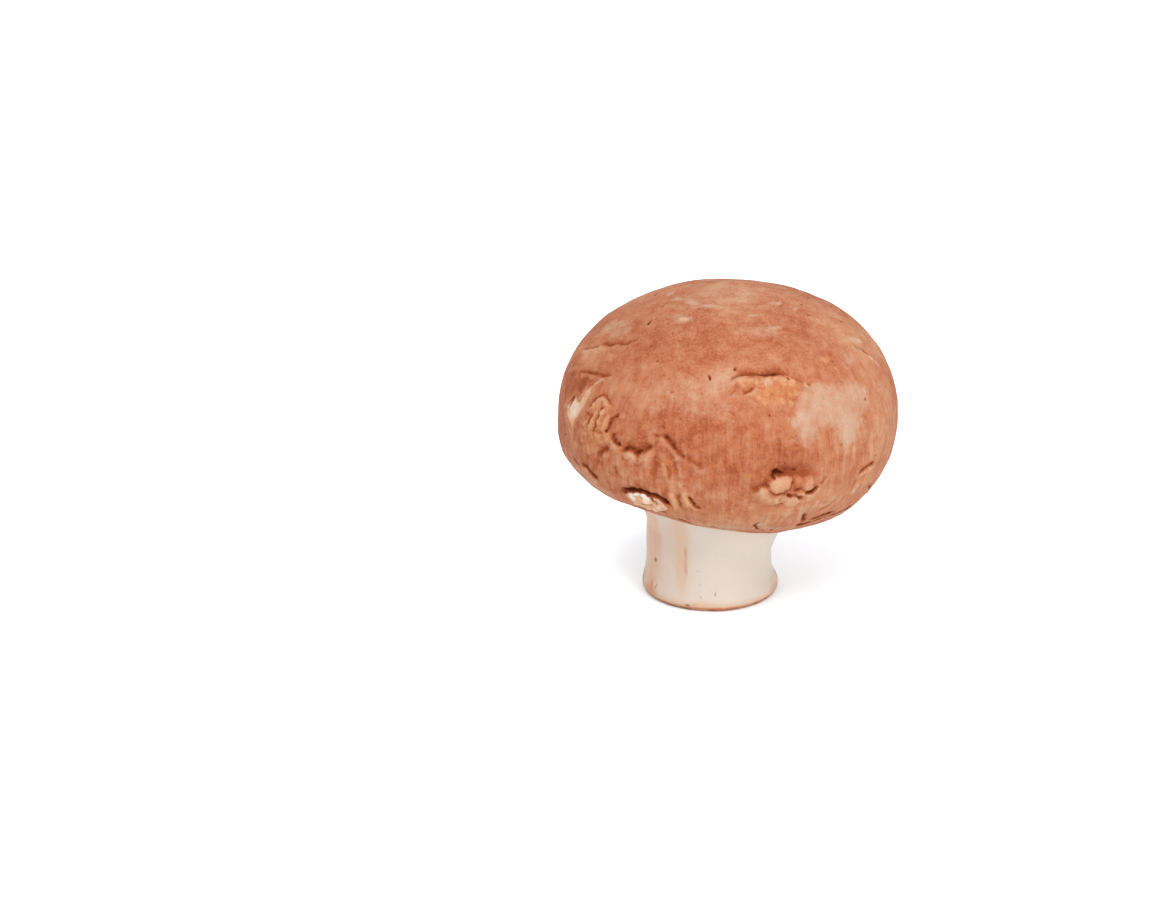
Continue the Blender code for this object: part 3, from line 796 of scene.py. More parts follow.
def flake_marks() -> list[Mark]:
    """The torn creamy flake at the lower left margin."""
    return [
        # The dark crease over the flake is brown stain and painted shadow under the lifted skin.
        Crease(((-39.8, 103.6), (-38.2, 102.4), (-35.2, 101.6), (-32.9, 100.8), (-29.7, 101.2),
            (-27.3, 102.2), (-24.7, 102.6), (-22.9, 104), (-21.3, 106.5)), 0.65, 0.42, stain=1, bruise_and_shade=0.9,
            wander=0.1),
        Patch(((-38.2, 103.6), (-34.8, 102.4), (-32.2, 102), (-29.8, 102.1), (-28.3, 102.7),
            (-27.7, 104.4), (-26.6, 103.4), (-24.9, 103.7), (-23.9, 105), (-22.2, 107.6), (-23.7, 110.4),
            (-26.1, 111.7), (-28.7, 111.4), (-32.3, 111.8), (-35.2, 110.8), (-37.3, 109.4),
            (-38.7, 106.4)), {FLESH: 1}, feather=0.14, ragged=0.16, depth=-0.1, lumps=0.3, edge_stain=0.3),
        Rise((-34.5, 106), 0.9, 0.22), Rise((-30, 105), 0.8, 0.25), Rise((-25, 106.5), 0.9, 0.25),
        Rise((-31.5, 109.4), 0.8, 0.18), Rise((-27.6, 109.6), 0.7, 0.2),
        Crease(((-27.9, 103.4), (-27.4, 105), (-26.4, 107)), 0.4, 0.2, stain=0.45, wander=0.08),
        Crease(((-33.4, 107.6), (-31, 108.2), (-28.6, 107.8)), 0.22, 0.22, stain=0.22),
        Wash((-33, 110.2), 2.4, 0.7, AMBER, 0.8), Wash((-26.6, 110), 1.8, 0.7, AMBER, 0.8),
        Wash((-36.6, 107), 0.5, 1.4, AMBER, 0.8), Wash((-30, 107.6), 1.2, 0.5, AMBER, 0.6, lean=-20),
        Wash((-29.5, 106.5), 2.6, 1.5, AMBER, 0.5), Wash((-30, 107.8), 5, 2.6, AMBER, 0.8),
        Pit((-22.6, 105), 0.6, 0.3, 0.42, lean=-48), Pit((-32.6, 101.6), 0.6, 0.22, 0.25, stain=0.8),
        Pit((-25, 112), 0.32, 0.22, 0.25, stain=0.85),
        Pit((-38.4, 103.6), 0.5, 0.22, 0.2, lean=12, stain=0.7),
    ]


def fold_marks() -> list[Mark]:
    """The cuts and pale folds beside the flake, down to the margin."""
    return [
        Crease(((-41, 112.4), (-36.8, 114.5), (-32.3, 113.6), (-29.2, 114.3), (-27.1, 115)), 0.2, 0.26,
            stain=0.5),
        Wash((-44, 104.5), 3, 1.4, RUDDY, 0.3),
        Ridge(((-19.9, 101), (-19.5, 103), (-19.4, 106), (-19.6, 109.6)), 0.22, 0.26, AMBER, 0.8,
            wander=0.14),
        Ridge(((-16.7, 99), (-16.1, 101.4), (-15.3, 104.4), (-14.1, 107.4)), 0.24, 0.27, AMBER, 0.9,
            wander=0.14),
        Wash((-19.5, 104), 0.4, 1.8, PALE, 0.5), Wash((-16, 102.4), 0.4, 2, PALE, 0.8, lean=-8),
        Wash((-16.3, 101.4), 0.22, 1.2, SCUFF, 0.6, lean=-8),
        Ridge(((-15, 101.6), (-14.5, 103.6), (-13.6, 106)), 0.16, 0.26, AMBER, 0.8),
        Crease(((-18.2, 101), (-17.7, 104.4), (-17.2, 108)), 0.28, 0.24, stain=0.3, bruise_and_shade=0.2),
        Crease(((-14.6, 101.3), (-13.4, 103.6), (-12.1, 105.8), (-10.3, 106.8)), 0.42, 0.24, lip=0.24,
            stain=0.75, bruise_and_shade=0.2, wander=0.04),
        Crease(((-21.2, 116.9), (-19.3, 118.1), (-17.5, 119.6), (-15.5, 121)), 0.3, 0.4, stain=0.9,
            wander=0.1),
    ]


def knob_marks() -> list[Mark]:
    """The knobby crumple at the lower right."""
    return [
        Patch(((12.6, 92), (14.7, 89.4), (19.3, 90), (23.5, 89.8), (27.4, 91.4), (28.6, 94.2),
            (25.9, 95.4), (19.6, 94.2), (17.2, 93.2)), {RUDDY: 0.9, STAIN: 0.1}, feather=0.8, ragged=0.4,
            depth=0.22),
        Rise((15.9, 96.8), 2, 0.25), Rise((11.2, 99.6), 1.7, 0.45), Rise((20, 104), 2.6, 0.3),
        Crease(((12.6, 93.8), (13.6, 92.6), (15.6, 92.8), (17.6, 93), (20.6, 93.2)), 0.34, 0.42,
            stain=0.45, bruise_and_shade=0.8, wander=0.12),
        Knob((15.9, 96), 1.72, 1.22, 0.95, {AMBER: 0.9, SCUFF: 0.5, PALE: 0.5}, lean=5, shade=0.5),
        Knob((26.2, 97.3), 1, 1.15, 0.28, {AMBER: 0.3}, shade=0.3, ring=0.45),
        Knob((22.6, 96.2), 0.7, 0.9, 0.22, {AMBER: 0.2}, shade=0.2, ring=0.5),
        Pit((14.3, 92), 0.52, 0.34, 0.55, lean=25), Pit((16, 92.6), 0.62, 0.22, 0.3, lean=-18, stain=0.9),
        Pit((13.3, 93.6), 0.26, 0.26, 0.3, lean=50, stain=0.85),
        Pit((17.9, 91.9), 0.26, 0.22, 0.2, stain=0.7),
        Pit((21.1, 92.2), 0.34, 0.24, 0.35, lean=15, stain=0.9), Wash((24.6, 93.6), 1.3, 0.6, STAIN, 0.35),
        Pit((22.4, 99.3), 0.68, 0.15, 0.35, lean=6, stain=0.8), Wash((22.2, 97.9), 0.8, 0.5, RUDDY, 0.8),
        Crease(((25.6, 100.9), (28.3, 101), (29.7, 100.1), (30.5, 99)), 0.42, 0.3, lip=0.2, stain=0.75,
            bruise_and_shade=0.5, wander=0.06),
        Pit((28, 100.9), 0.5, 0.26, 0.3, lean=12, stain=0.8),
        Crease(((31, 98.6), (31.8, 97.8), (33.5, 96.4)), 0.26, 0.24, lip=0.14, stain=0.45),
        Pit((15.3, 99.3), 0.26, 0.18, 0.3, stain=0.75),
        Crease(((18.8, 100.5), (20.6, 101.3), (22.6, 101.9), (25.2, 103.1)), 0.36, 0.24, lip=0.26,
            stain=0.75, wander=0.06),
        Pit((19.2, 100.7), 0.3, 0.18, 0.22, lean=-25, stain=0.85),
        Crease(((7.2, 99), (9, 97), (10.6, 96.2), (12.5, 96.3)), 0.4, 0.4, lip=0.3, stain=0.45, bruise_and_shade=0.7,
            wander=0.06),
        Rise((11.4, 99.8), 1.3, 0.3), Wash((11.4, 99), 1.9, 1.2, PALE, 0.45),
        Wash((11.4, 98.6), 1.4, 0.8, AMBER, 0.3),
        Knob((16.7, 101.6), 1, 0.85, 0.34, {AMBER: 0.5, SCUFF: 0.5, PALE: 0.3}, shade=0.2, ring=0.3),
        Knob((20.9, 103.3), 1.2, 0.9, 0.3, {AMBER: 0.5, SCUFF: 0.5, PALE: 0.3}, shade=0, ring=0.2),
        Knob((14, 102.4), 0.9, 0.8, 0.16, {AMBER: 0.4, PALE: 0.6}, shade=0, ring=0.1),
        Knob((24.2, 101), 0.7, 0.4, 0.18, {AMBER: 0.6}, shade=0.15, ring=0.3),
        Knob((28.4, 103.4), 0.9, 0.7, 0.16, {PALE: 0.6}, shade=0, ring=0.1),
        Pit((17.3, 103.5), 0.22, 0.18, 0.2, lean=30, stain=0.6),
        Crease(((16.4, 101.4), (16.2, 103)), 0.2, 0.2, stain=0.3),
        Ridge(((25.1, 104), (25.3, 107), (26, 111), (27.6, 115)), 0.26, 0.45, SCUFF, 0.5, wander=0.1),
        Ridge(((21.5, 105), (21.2, 108), (20.9, 111)), 0.14, 0.5, PALE, 0.6),
        Wash((25.4, 104.4), 0.45, 0.4, FLESH, 0.45), Wash((18, 111), 5, 3.4, PALE, 0.3),
        Wash((17, 106), 3.4, 2, AMBER, 0.4), Wash((34, 106), 4, 2.2, PALE, 0.5),
        Wash((31, 109), 2.2, 1.6, SCUFF, 0.3),
        Crease(((28.4, 111), (29.4, 113.8), (31, 117)), 0.36, 0.34, stain=0.75, bruise_and_shade=0.4, wander=0.08),
        Crease(((34.5, 111), (38.2, 109.4), (40.5, 106.6)), 0.18, 0.3, lip=0.12, stain=0.2),
        Ridge(((31.4, 101.5), (31.8, 104.5), (31.2, 108)), 0.14, 0.34, PALE, 0.5),
    ]


def front_marks() -> list[Mark]:
    """All the marks that the photograph shows, from the broad to the small."""
    groups = (broad_marks, middle_marks, crown_marks, shoulder_marks, nick_marks, margin_marks, crack_marks,
              gash_marks, crinkle_marks, flake_marks, fold_marks, knob_marks)
    return [mark for group in groups for mark in group()]


def mirrored(marks: Iterable[Mark], axis: float, lower: float = 0.0) -> list[Mark]:
    """Copies of marks on the other side of an upright plane.

    Args:
        marks: The marks.
        axis: Bearing of the plane, halfway between each mark and its copy.
        lower: How much lower the copies lie, in degrees of drop.

    Returns:
        The copies.
    """
    def across(place: Place) -> Place:
        return 2 * axis - place[0], place[1] + lower

    copies = []
    for mark in marks:
        changes: dict[str, object] = {}
        if isinstance(mark, Run):
            changes["places"] = tuple(across(place) for place in reversed(mark.places))
        elif isinstance(mark, Patch):
            changes["outline"] = tuple(across(place) for place in mark.outline)
        else:
            changes["place"] = across(mark.place)
        if hasattr(mark, "lean"):
            changes["lean"] = -mark.lean
        copies.append(replace(mark, **changes))
    return copies


def back_marks() -> list[Mark]:
    """Marks of the same kinds on the sides and the back, which the photograph doesn't show."""
    broad = [
        Rise((146, 66), 5.5, -0.4), Rise((-152, 84), 4.5, 0.4), Rise((152, 100), 3, -0.4),
        Wash((120, 44), 11, 7, RUDDY, 0.5), Wash((-150, 62), 12, 8, RUDDY, 0.45),
        Wash((172, 92), 9, 6, RUDDY, 0.5), Wash((-108, 80), 6, 8, RUDDY, 0.5),
        Wash((160, 50), 8, 5, PALE, 0.5), Wash((-120, 40), 7, 5, PALE, 0.5),
        Wash((140, 112), 9, 4, PALE, 0.5), Wash((-150, 112), 10, 4, PALE, 0.4),
        Wash((105, 66), 5, 6, PALE, 0.5), Wash((98, 96), 4.5, 3, SCUFF, 0.45, ragged=0.6),
        Wash((-104, 66), 3.5, 5, SCUFF, 0.4, ragged=0.6), Wash((-172, 66), 7, 5, PALE, 0.5),
        Wash((128, 74), 6, 4, AMBER, 0.35), Wash((-128, 96), 7, 4, AMBER, 0.35),
    ]
    farthest_round = 80
    upper = [mark for mark in crown_marks() if abs(mark.place[0]) < farthest_round]
    copied = (
        (crack_marks(), 55, -7), (middle_marks(), -69, 5), (knob_marks(), -54, -3), (fold_marks(), 62, -2),
        (upper, 88, 3), (margin_marks(), 112, -1), (crinkle_marks(), -121, -8), (shoulder_marks(), 34, 6))
    return broad + [mark for marks, axis, lower in copied for mark in mirrored(marks, axis, lower)]


class Wire:
    """A socket's output that can stand in a Python expression on numbers."""

    def __init__(self, graph: "Graph", socket: bpy.types.NodeSocket) -> None:
        """Holds the socket and the graph that it belongs to."""
        self.graph, self.socket = graph, socket

    def __add__(self, other: "Wire | float") -> "Wire":
        """Sum."""
        return self.graph.math("ADD", self, other)

    __radd__ = __add__

    def __sub__(self, other: "Wire | float") -> "Wire":
        """Difference."""
        return self.graph.math("SUBTRACT", self, other)

    def __rsub__(self, other: float) -> "Wire":
        """Difference the other way round."""
        return self.graph.math("SUBTRACT", other, self)

    def __mul__(self, other: "Wire | float") -> "Wire":
        """Product."""
        return self.graph.math("MULTIPLY", self, other)

    __rmul__ = __mul__

    def ramp(self, low: float, high: float) -> "Wire":
        """0 below low, 1 above high and a smooth ramp between them."""
        node = self.graph.node(
            "ShaderNodeMapRange", {"interpolation_type": "SMOOTHSTEP"},
            {"Value": self, "From Min": low, "From Max": high})
        return Wire(self.graph, node.outputs["Result"])

    def limit(self) -> "Wire":
        """The same, held between 0 and 1."""
        return Wire(self.graph, self.graph.node("ShaderNodeClamp", {}, {"Value": self}).outputs["Result"])


@dataclass(frozen=True)
class Tone:
    """A colour as it is seen in white light, each part from 0 to 255."""

    red: float
    green: float
    blue: float

    def linear(self, dim: float) -> Paint:
        """The same as linear parts from 0 to 1, made darker by a factor."""
        parts = []
        for part in (self.red, self.green, self.blue):
            share = part / 255
            low = share / 12.92
            high = ((share + 0.055) / 1.055) ** 2.4
            parts.append((low if share <= 0.04045 else high) * dim)
        return (parts[0], parts[1], parts[2], 1.0)


class Graph:
    """The node tree of one material."""

    def __init__(self, name: str) -> None:
        """Starts a material with a Principled shader and nothing else."""
        self.material = bpy.data.materials.new(name)
        self.material.use_nodes = True
        self.tree = self.material.node_tree
        self.shader = self.tree.nodes["Principled BSDF"]

    def node(self, kind: str, settings: dict[str, Any], sockets: dict[Any, Any]) -> bpy.types.Node:
        """Adds a node.

        Args:
            kind: The node's type.
            settings: Its settings; "stops" holds a ramp's (position, colour) pairs.
            sockets: A value or a wire for each of its sockets, by name or number.

        Returns:
            The node.
        """
        node = self.tree.nodes.new(kind)
        for key, value in settings.items():
            if key == "stops":
                ramp = node.color_ramp
                while len(ramp.elements) < len(value):
                    ramp.elements.new(0.5)
                for element, (position, colour) in zip(ramp.elements, value):
                    element.position, element.color = position, colour
            else:
                setattr(node, key, value)
        for key, value in sockets.items():
            self.feed(node, key, value)
        return node

    def feed(self, node: bpy.types.Node, key: Any, value: Any) -> None:
        """Sets one socket of a node to a value, or links a wire to it."""
        if isinstance(value, Wire):
            self.tree.links.new(value.socket, node.inputs[key])
        else:
            node.inputs[key].default_value = value

    def math(self, operation: str, first: Wire | float, second: Wire | float) -> Wire:
        """A Math node on two numbers."""
        node = self.node("ShaderNodeMath", {"operation": operation}, {0: first, 1: second})
        return Wire(self, node.outputs["Value"])

    def held(self, name: str, output: str = "Fac") -> Wire:
        """What the mesh holds at each point: a number, or with the output Vector a vector."""
        return Wire(self, self.node("ShaderNodeAttribute", {"attribute_name": name}, {}).outputs[output])

    def stretched(self, vector: Wire, factors: tuple[float, float, float]) -> Wire:
        """A vector with each part multiplied by a factor."""
        node = self.node("ShaderNodeVectorMath", {"operation": "MULTIPLY"}, {0: vector, 1: factors})
        return Wire(self, node.outputs["Vector"])

    def lumps(self, where: Wire, scale: float, detail: float = 3.0, rough: float = 0.55) -> Wire:
        """Noise from 0 to 1, with lumps of about 1 / scale millimetres."""
        node = self.node("ShaderNodeTexNoise", {}, {
            "Vector": where, "Scale": scale, "Detail": detail, "Roughness": rough})
        return Wire(self, node.outputs["Fac"])

    def dots(self, where: Wire, scale: float) -> Wire:
        """Distance from the nearest of many scattered points, about 1 / scale millimetres apart."""
        node = self.node("ShaderNodeTexVoronoi", {}, {"Vector": where, "Scale": scale})
        return Wire(self, node.outputs["Distance"])

    def shades(self, share: Wire, stops: Sequence[tuple[float, Paint]]) -> Wire:
        """The colour at a share of a ramp."""
        node = self.node("ShaderNodeValToRGB", {"stops": stops}, {"Fac": share})
        return Wire(self, node.outputs["Color"])

    def mix(self, share: Wire, first: Wire | Paint, second: Wire | Paint) -> Wire:
        """Two colours mixed by a share."""
        node = self.node("ShaderNodeMix", {"data_type": "RGBA"}, {0: share, 6: first, 7: second})
        return Wire(self, node.outputs[2])

    def bump(self, height: Wire, strength: float, depth: float) -> Wire:
        """The normal bumped by a height from 0 to 1 that stands for a depth in metres."""
        node = self.node("ShaderNodeBump", {}, {"Height": height, "Strength": strength, "Distance": depth})
        return Wire(self, node.outputs["Normal"])

    def finish(self, sockets: dict[str, Any]) -> bpy.types.Material:
        """Sets the shader's sockets and gives the material."""
        for key, value in sockets.items():
            self.feed(self.shader, key, value)
        return self.material


class SkinWires:
    """What the skin's material reads from the mesh, and its noises, most of them centred on 0."""

    def __init__(self, graph: Graph) -> None:
        """Adds their nodes to a graph."""
        self.graph = graph
        self.where, grain = graph.held("spot", "Vector"), graph.held("grain", "Vector")
        # bulge is how far the skin stands out; the colours use it as painted light and shade, lighter on
        # raised skin and darker in hollows.
        self.down, self.bulge = graph.held("down"), graph.held("bulge")
        self.low = self.down.ramp(0.5, 1.0)
        self.tint = {tint: graph.held(tint.value) for tint in Tint}
        self.hue = graph.lumps(graph.stretched(self.where, (1.0, 1.0, 1.3)), 0.9, 3.0, 0.6)
        self.patches = graph.lumps(self.where, 0.62, 4.0, 0.6)
        self.mottle = self.patches - 0.5
        self.blotch = graph.lumps(self.where, 0.16, 2.0) - 0.5
        self.grit = graph.lumps(self.where, 3.0, 3.0, 0.65) - 0.5
        self.streak = graph.lumps(graph.stretched(grain, (1, 1, 0.15)), 1.3, 3.0, 0.6) - 0.5
        self.thread = graph.lumps(graph.stretched(grain, (1, 1, 0.12)), 4.0, 2.0, 0.6) - 0.5
        self.broken = self.mottle * 0.9 + self.grit * 0.6


@dataclass(frozen=True)
class Finish:
    """The look of a surface; dim darkens its colours to suit the bright room."""

    dim: float

    def paint(self, tone: Tone, lift: float = 1.0) -> Paint:
        """One of its colours as the shader takes it, made lighter by a factor."""
        return tone.linear(self.dim * lift)


@dataclass(frozen=True)
class SkinFinish(Finish):
    """The cap's skin: red-brown to tan, streaked from crown to margin, with scuffs, stains and bare flesh,
    and painted light and shade on its relief.
    """

    dim: float = 0.42
    deep: Tone = Tone(168, 84, 52)
    red: Tone = Tone(197, 112, 76)
    brown: Tone = Tone(211, 135, 99)
    tan: Tone = Tone(222, 156, 118)
    light: Tone = Tone(233, 180, 144)
    orange: Tone = Tone(219, 132, 82)
    amber_low: Tone = Tone(212, 124, 76)
    amber_high: Tone = Tone(239, 172, 122)
    scuff_warm: Tone = Tone(218, 160, 124)
    scuff_cool: Tone = Tone(225, 187, 161)
    flesh: Tone = Tone(250, 234, 219)
    flesh_shade: Tone = Tone(240, 186, 146)
    stain: Tone = Tone(168, 80, 42)
    hollow: Tone = Tone(100, 34, 10)
    veil: Tone = Tone(226, 200, 180)

    def clean(self, w: SkinWires) -> Wire:
        """Unmarked skin, from deep red to pale tan, with stretches of orange."""
        # The bulge term is painted light and shade: lighter on raised skin, darker in hollows.
        tone = (0.5 + w.blotch * 0.5 + w.mottle * 0.85 + w.grit * (0.55 + 0.5 * w.down.ramp(0.8, 0.3))
                + (w.streak * 0.8 + w.thread * 0.35) * w.low + w.bulge * 0.18
                + w.tint[PALE] * 0.36 - w.tint[RUDDY] * 0.30)
        colours = (self.deep, self.red, self.brown, self.tan, self.light)
        stops = [(at, self.paint(colour)) for at, colour in zip((0.0, 0.28, 0.50, 0.72, 1.0), colours)]
        orange_share = (w.hue + w.grit * 0.4).ramp(0.48, 0.74) * (0.2 + 0.5 * w.low)
        return w.graph.mix(orange_share, w.graph.shades(tone.limit(), stops), self.paint(self.orange))

    def rubbed(self, w: SkinWires, skin: Wire) -> Wire:
        """Lays on the amber under-skin and the cool scuffs."""
        # The bulge terms here are painted light: raised amber and scuffed skin is lighter.
        tone = 0.5 + w.mottle * 1.3 + w.grit * 1.2 + w.bulge * 0.35 + w.tint[PALE] * 0.3
        amber = w.graph.mix(tone.limit(), self.paint(self.amber_low), self.paint(self.amber_high))
        skin = w.graph.mix((w.tint[AMBER] + w.broken * 0.8).ramp(0.12, 1.0) * 0.85, skin, amber)
        tone = w.mottle * 1.5 + w.grit * 0.6 + w.streak * 0.6 + 0.38 + w.tint[PALE] * 0.6 + w.bulge * 0.3
        scuff = w.graph.mix(tone.limit(), self.paint(self.scuff_warm), self.paint(self.scuff_cool))
        share = (w.tint[SCUFF] + w.broken * 0.5 + w.streak * 0.3).ramp(0.10, 0.95) * 0.92
        return w.graph.mix(share, skin, scuff)

    def bared(self, w: SkinWires, skin: Wire) -> Wire:
        """Lays on the veil under the cap and the flesh where the skin is gone."""
        veil_share = (w.tint[VEIL] + w.broken * 0.5).ramp(0.35, 0.65)
        skin = w.graph.mix(veil_share, skin, self.paint(self.veil, 1.3))
        # The bulge term is painted light: raised flesh is whiter.
        tone = (0.5 + w.mottle * 1.6 + w.grit * 1.1 + w.bulge * 0.45 + w.tint[FLESH] * 0.9 - 0.9
                + w.tint[PALE] * 0.17 - w.tint[RUDDY] * 0.4 - w.tint[SCUFF] * 0.4 - w.tint[AMBER] * 0.8)
        flesh = w.graph.mix(tone.limit(), self.paint(self.flesh_shade, 1.1), self.paint(self.flesh, 1.25))
        return w.graph.mix((w.tint[FLESH] + w.grit * 0.5).ramp(0.25, 0.75), skin, flesh)

    def dotted(self, w: SkinWires, skin: Wire) -> Wire:
        """Lays on small dark specks and pale flecks."""
        speck = w.graph.dots(w.where, 0.55).ramp(0.105, 0.06) * w.hue.ramp(0.40, 0.5)
        skin = w.graph.mix(speck * 0.55, skin, self.paint(self.stain))
        fleck = w.graph.dots(w.graph.stretched(w.where, (1.0, 1.0, 0.8)), 0.83).ramp(0.15, 0.07)
        share = fleck * w.patches.ramp(0.46, 0.56) * (0.30 + 0.25 * w.down.ramp(0.7, 0.3))
        return w.graph.mix(share, skin, self.paint(self.scuff_cool))

    def stained(self, w: SkinWires, skin: Wire) -> Wire:
        """Lays on the brown of creases and pits, partly real browning and partly painted shade, darkest in
        the hollows.
        """
        share = (w.tint[STAIN] * (1.0 + w.mottle * 0.8 + w.grit * 0.6) - w.bulge * 0.05).limit()
        stain = w.graph.mix(share.ramp(0.45, 1.0), self.paint(self.stain), self.paint(self.hollow))
        return w.graph.mix(share.ramp(0.03, 0.6), skin, stain)

    def material(self) -> bpy.types.Material:
        """Builds the skin's material."""
        w = SkinWires(Graph("cap_skin_finish"))
        skin = self.clean(w)
        for layer in (self.rubbed, self.bared, self.dotted, self.stained):
            skin = layer(w, skin)
        height = w.mottle * 0.8 + w.grit * 0.5 + (w.streak * 0.5 + w.thread * 0.35) * w.low
        return w.graph.finish({
            "Base Color": skin,
            "Roughness": 0.62 + w.mottle * 0.3,
            "Normal": w.graph.bump(height, 0.5, 0.3 * MM),
            "Specular IOR Level": 0.03,
            "Subsurface Weight": 0.08,
            "Subsurface Radius": (1.0, 0.4, 0.2),
            "Subsurface Scale": 0.8 * MM,
        })


@dataclass(frozen=True)
class StemFinish(Finish):
    """The stem's flesh: satin cream with faint upright threads, a warm streak, a browned cut edge, and a pink
    blush that is partly painted shade on its left.
    """

    dim: float = 0.56
    cream: Tone = Tone(229, 215, 202)
    shade: Tone = Tone(222, 206, 191)
    blush_and_shade: Tone = Tone(234, 180, 144)
    amber: Tone = Tone(228, 176, 130)
    rim: Tone = Tone(200, 118, 68)
    stain: Tone = Tone(112, 52, 30)

    def material(self) -> bpy.types.Material:
        """Builds the flesh's material."""
        g = Graph("stem_flesh_finish")
        where, grain = g.held("spot", "Vector"), g.held("grain", "Vector")
        blotch = g.lumps(where, 0.22, 3.0) - 0.5
        mottle = g.lumps(where, 0.9, 4.0) - 0.5
        thread = g.lumps(g.stretched(grain, (1, 1, 0.10)), 2.4, 3.0, 0.6) - 0.5
        grit = g.lumps(where, 4.0, 3.0) - 0.5
        tone = (0.6 + blotch * 0.8 + thread * 0.6 + mottle * 0.4).limit()
        flesh = g.mix(tone, self.paint(self.shade), self.paint(self.cream))
        edge = mottle * 0.5 + grit * 0.4
        layers = (
            (RUDDY, self.blush_and_shade, 0.92), (AMBER, self.amber, 0.85), (RIM, self.rim, 0.92),
            (STAIN, self.stain, 0.95))
        for tint, colour, strength in layers:
            share = (g.held(tint.value) * (1.0 + edge)).limit()
            flesh = g.mix(share * strength, flesh, self.paint(colour))
        return g.finish({
            "Base Color": flesh,
            "Roughness": 0.55 + mottle * 0.2,
            "Normal": g.bump(thread * 0.6 + grit * 0.3, 0.35, 0.15 * MM),
            "Specular IOR Level": 0.3,
            "Subsurface Weight": 0.2,
            "Subsurface Radius": (1.0, 0.7, 0.5),
            "Subsurface Scale": 1.2 * MM,
        })


def make_mesh(name: str, points: Numbers, faces: Sequence[Sequence[int]]) -> bpy.types.Object:
    """Makes a smooth-shaded object of points in millimetres and links it to the scene."""
    mesh = bpy.data.meshes.new(name)
    mesh.from_pydata((points * MM).tolist(), [], faces)
    mesh.shade_smooth()
    made = bpy.data.objects.new(name, mesh)
    bpy.context.scene.collection.objects.link(made)
    return made


def hold(mesh: bpy.types.Mesh, values: dict[str, Numbers]) -> None:
    """Stores named numbers or vectors for each point of a mesh, for its material to read."""
    for name, rows in values.items():
        kind, key = ("FLOAT_VECTOR", "vector") if rows.ndim == 2 else ("FLOAT", "value")
        layer = mesh.attributes.new(name, kind, "POINT")
        layer.data.foreach_set(key, rows.astype(np.float32).ravel())


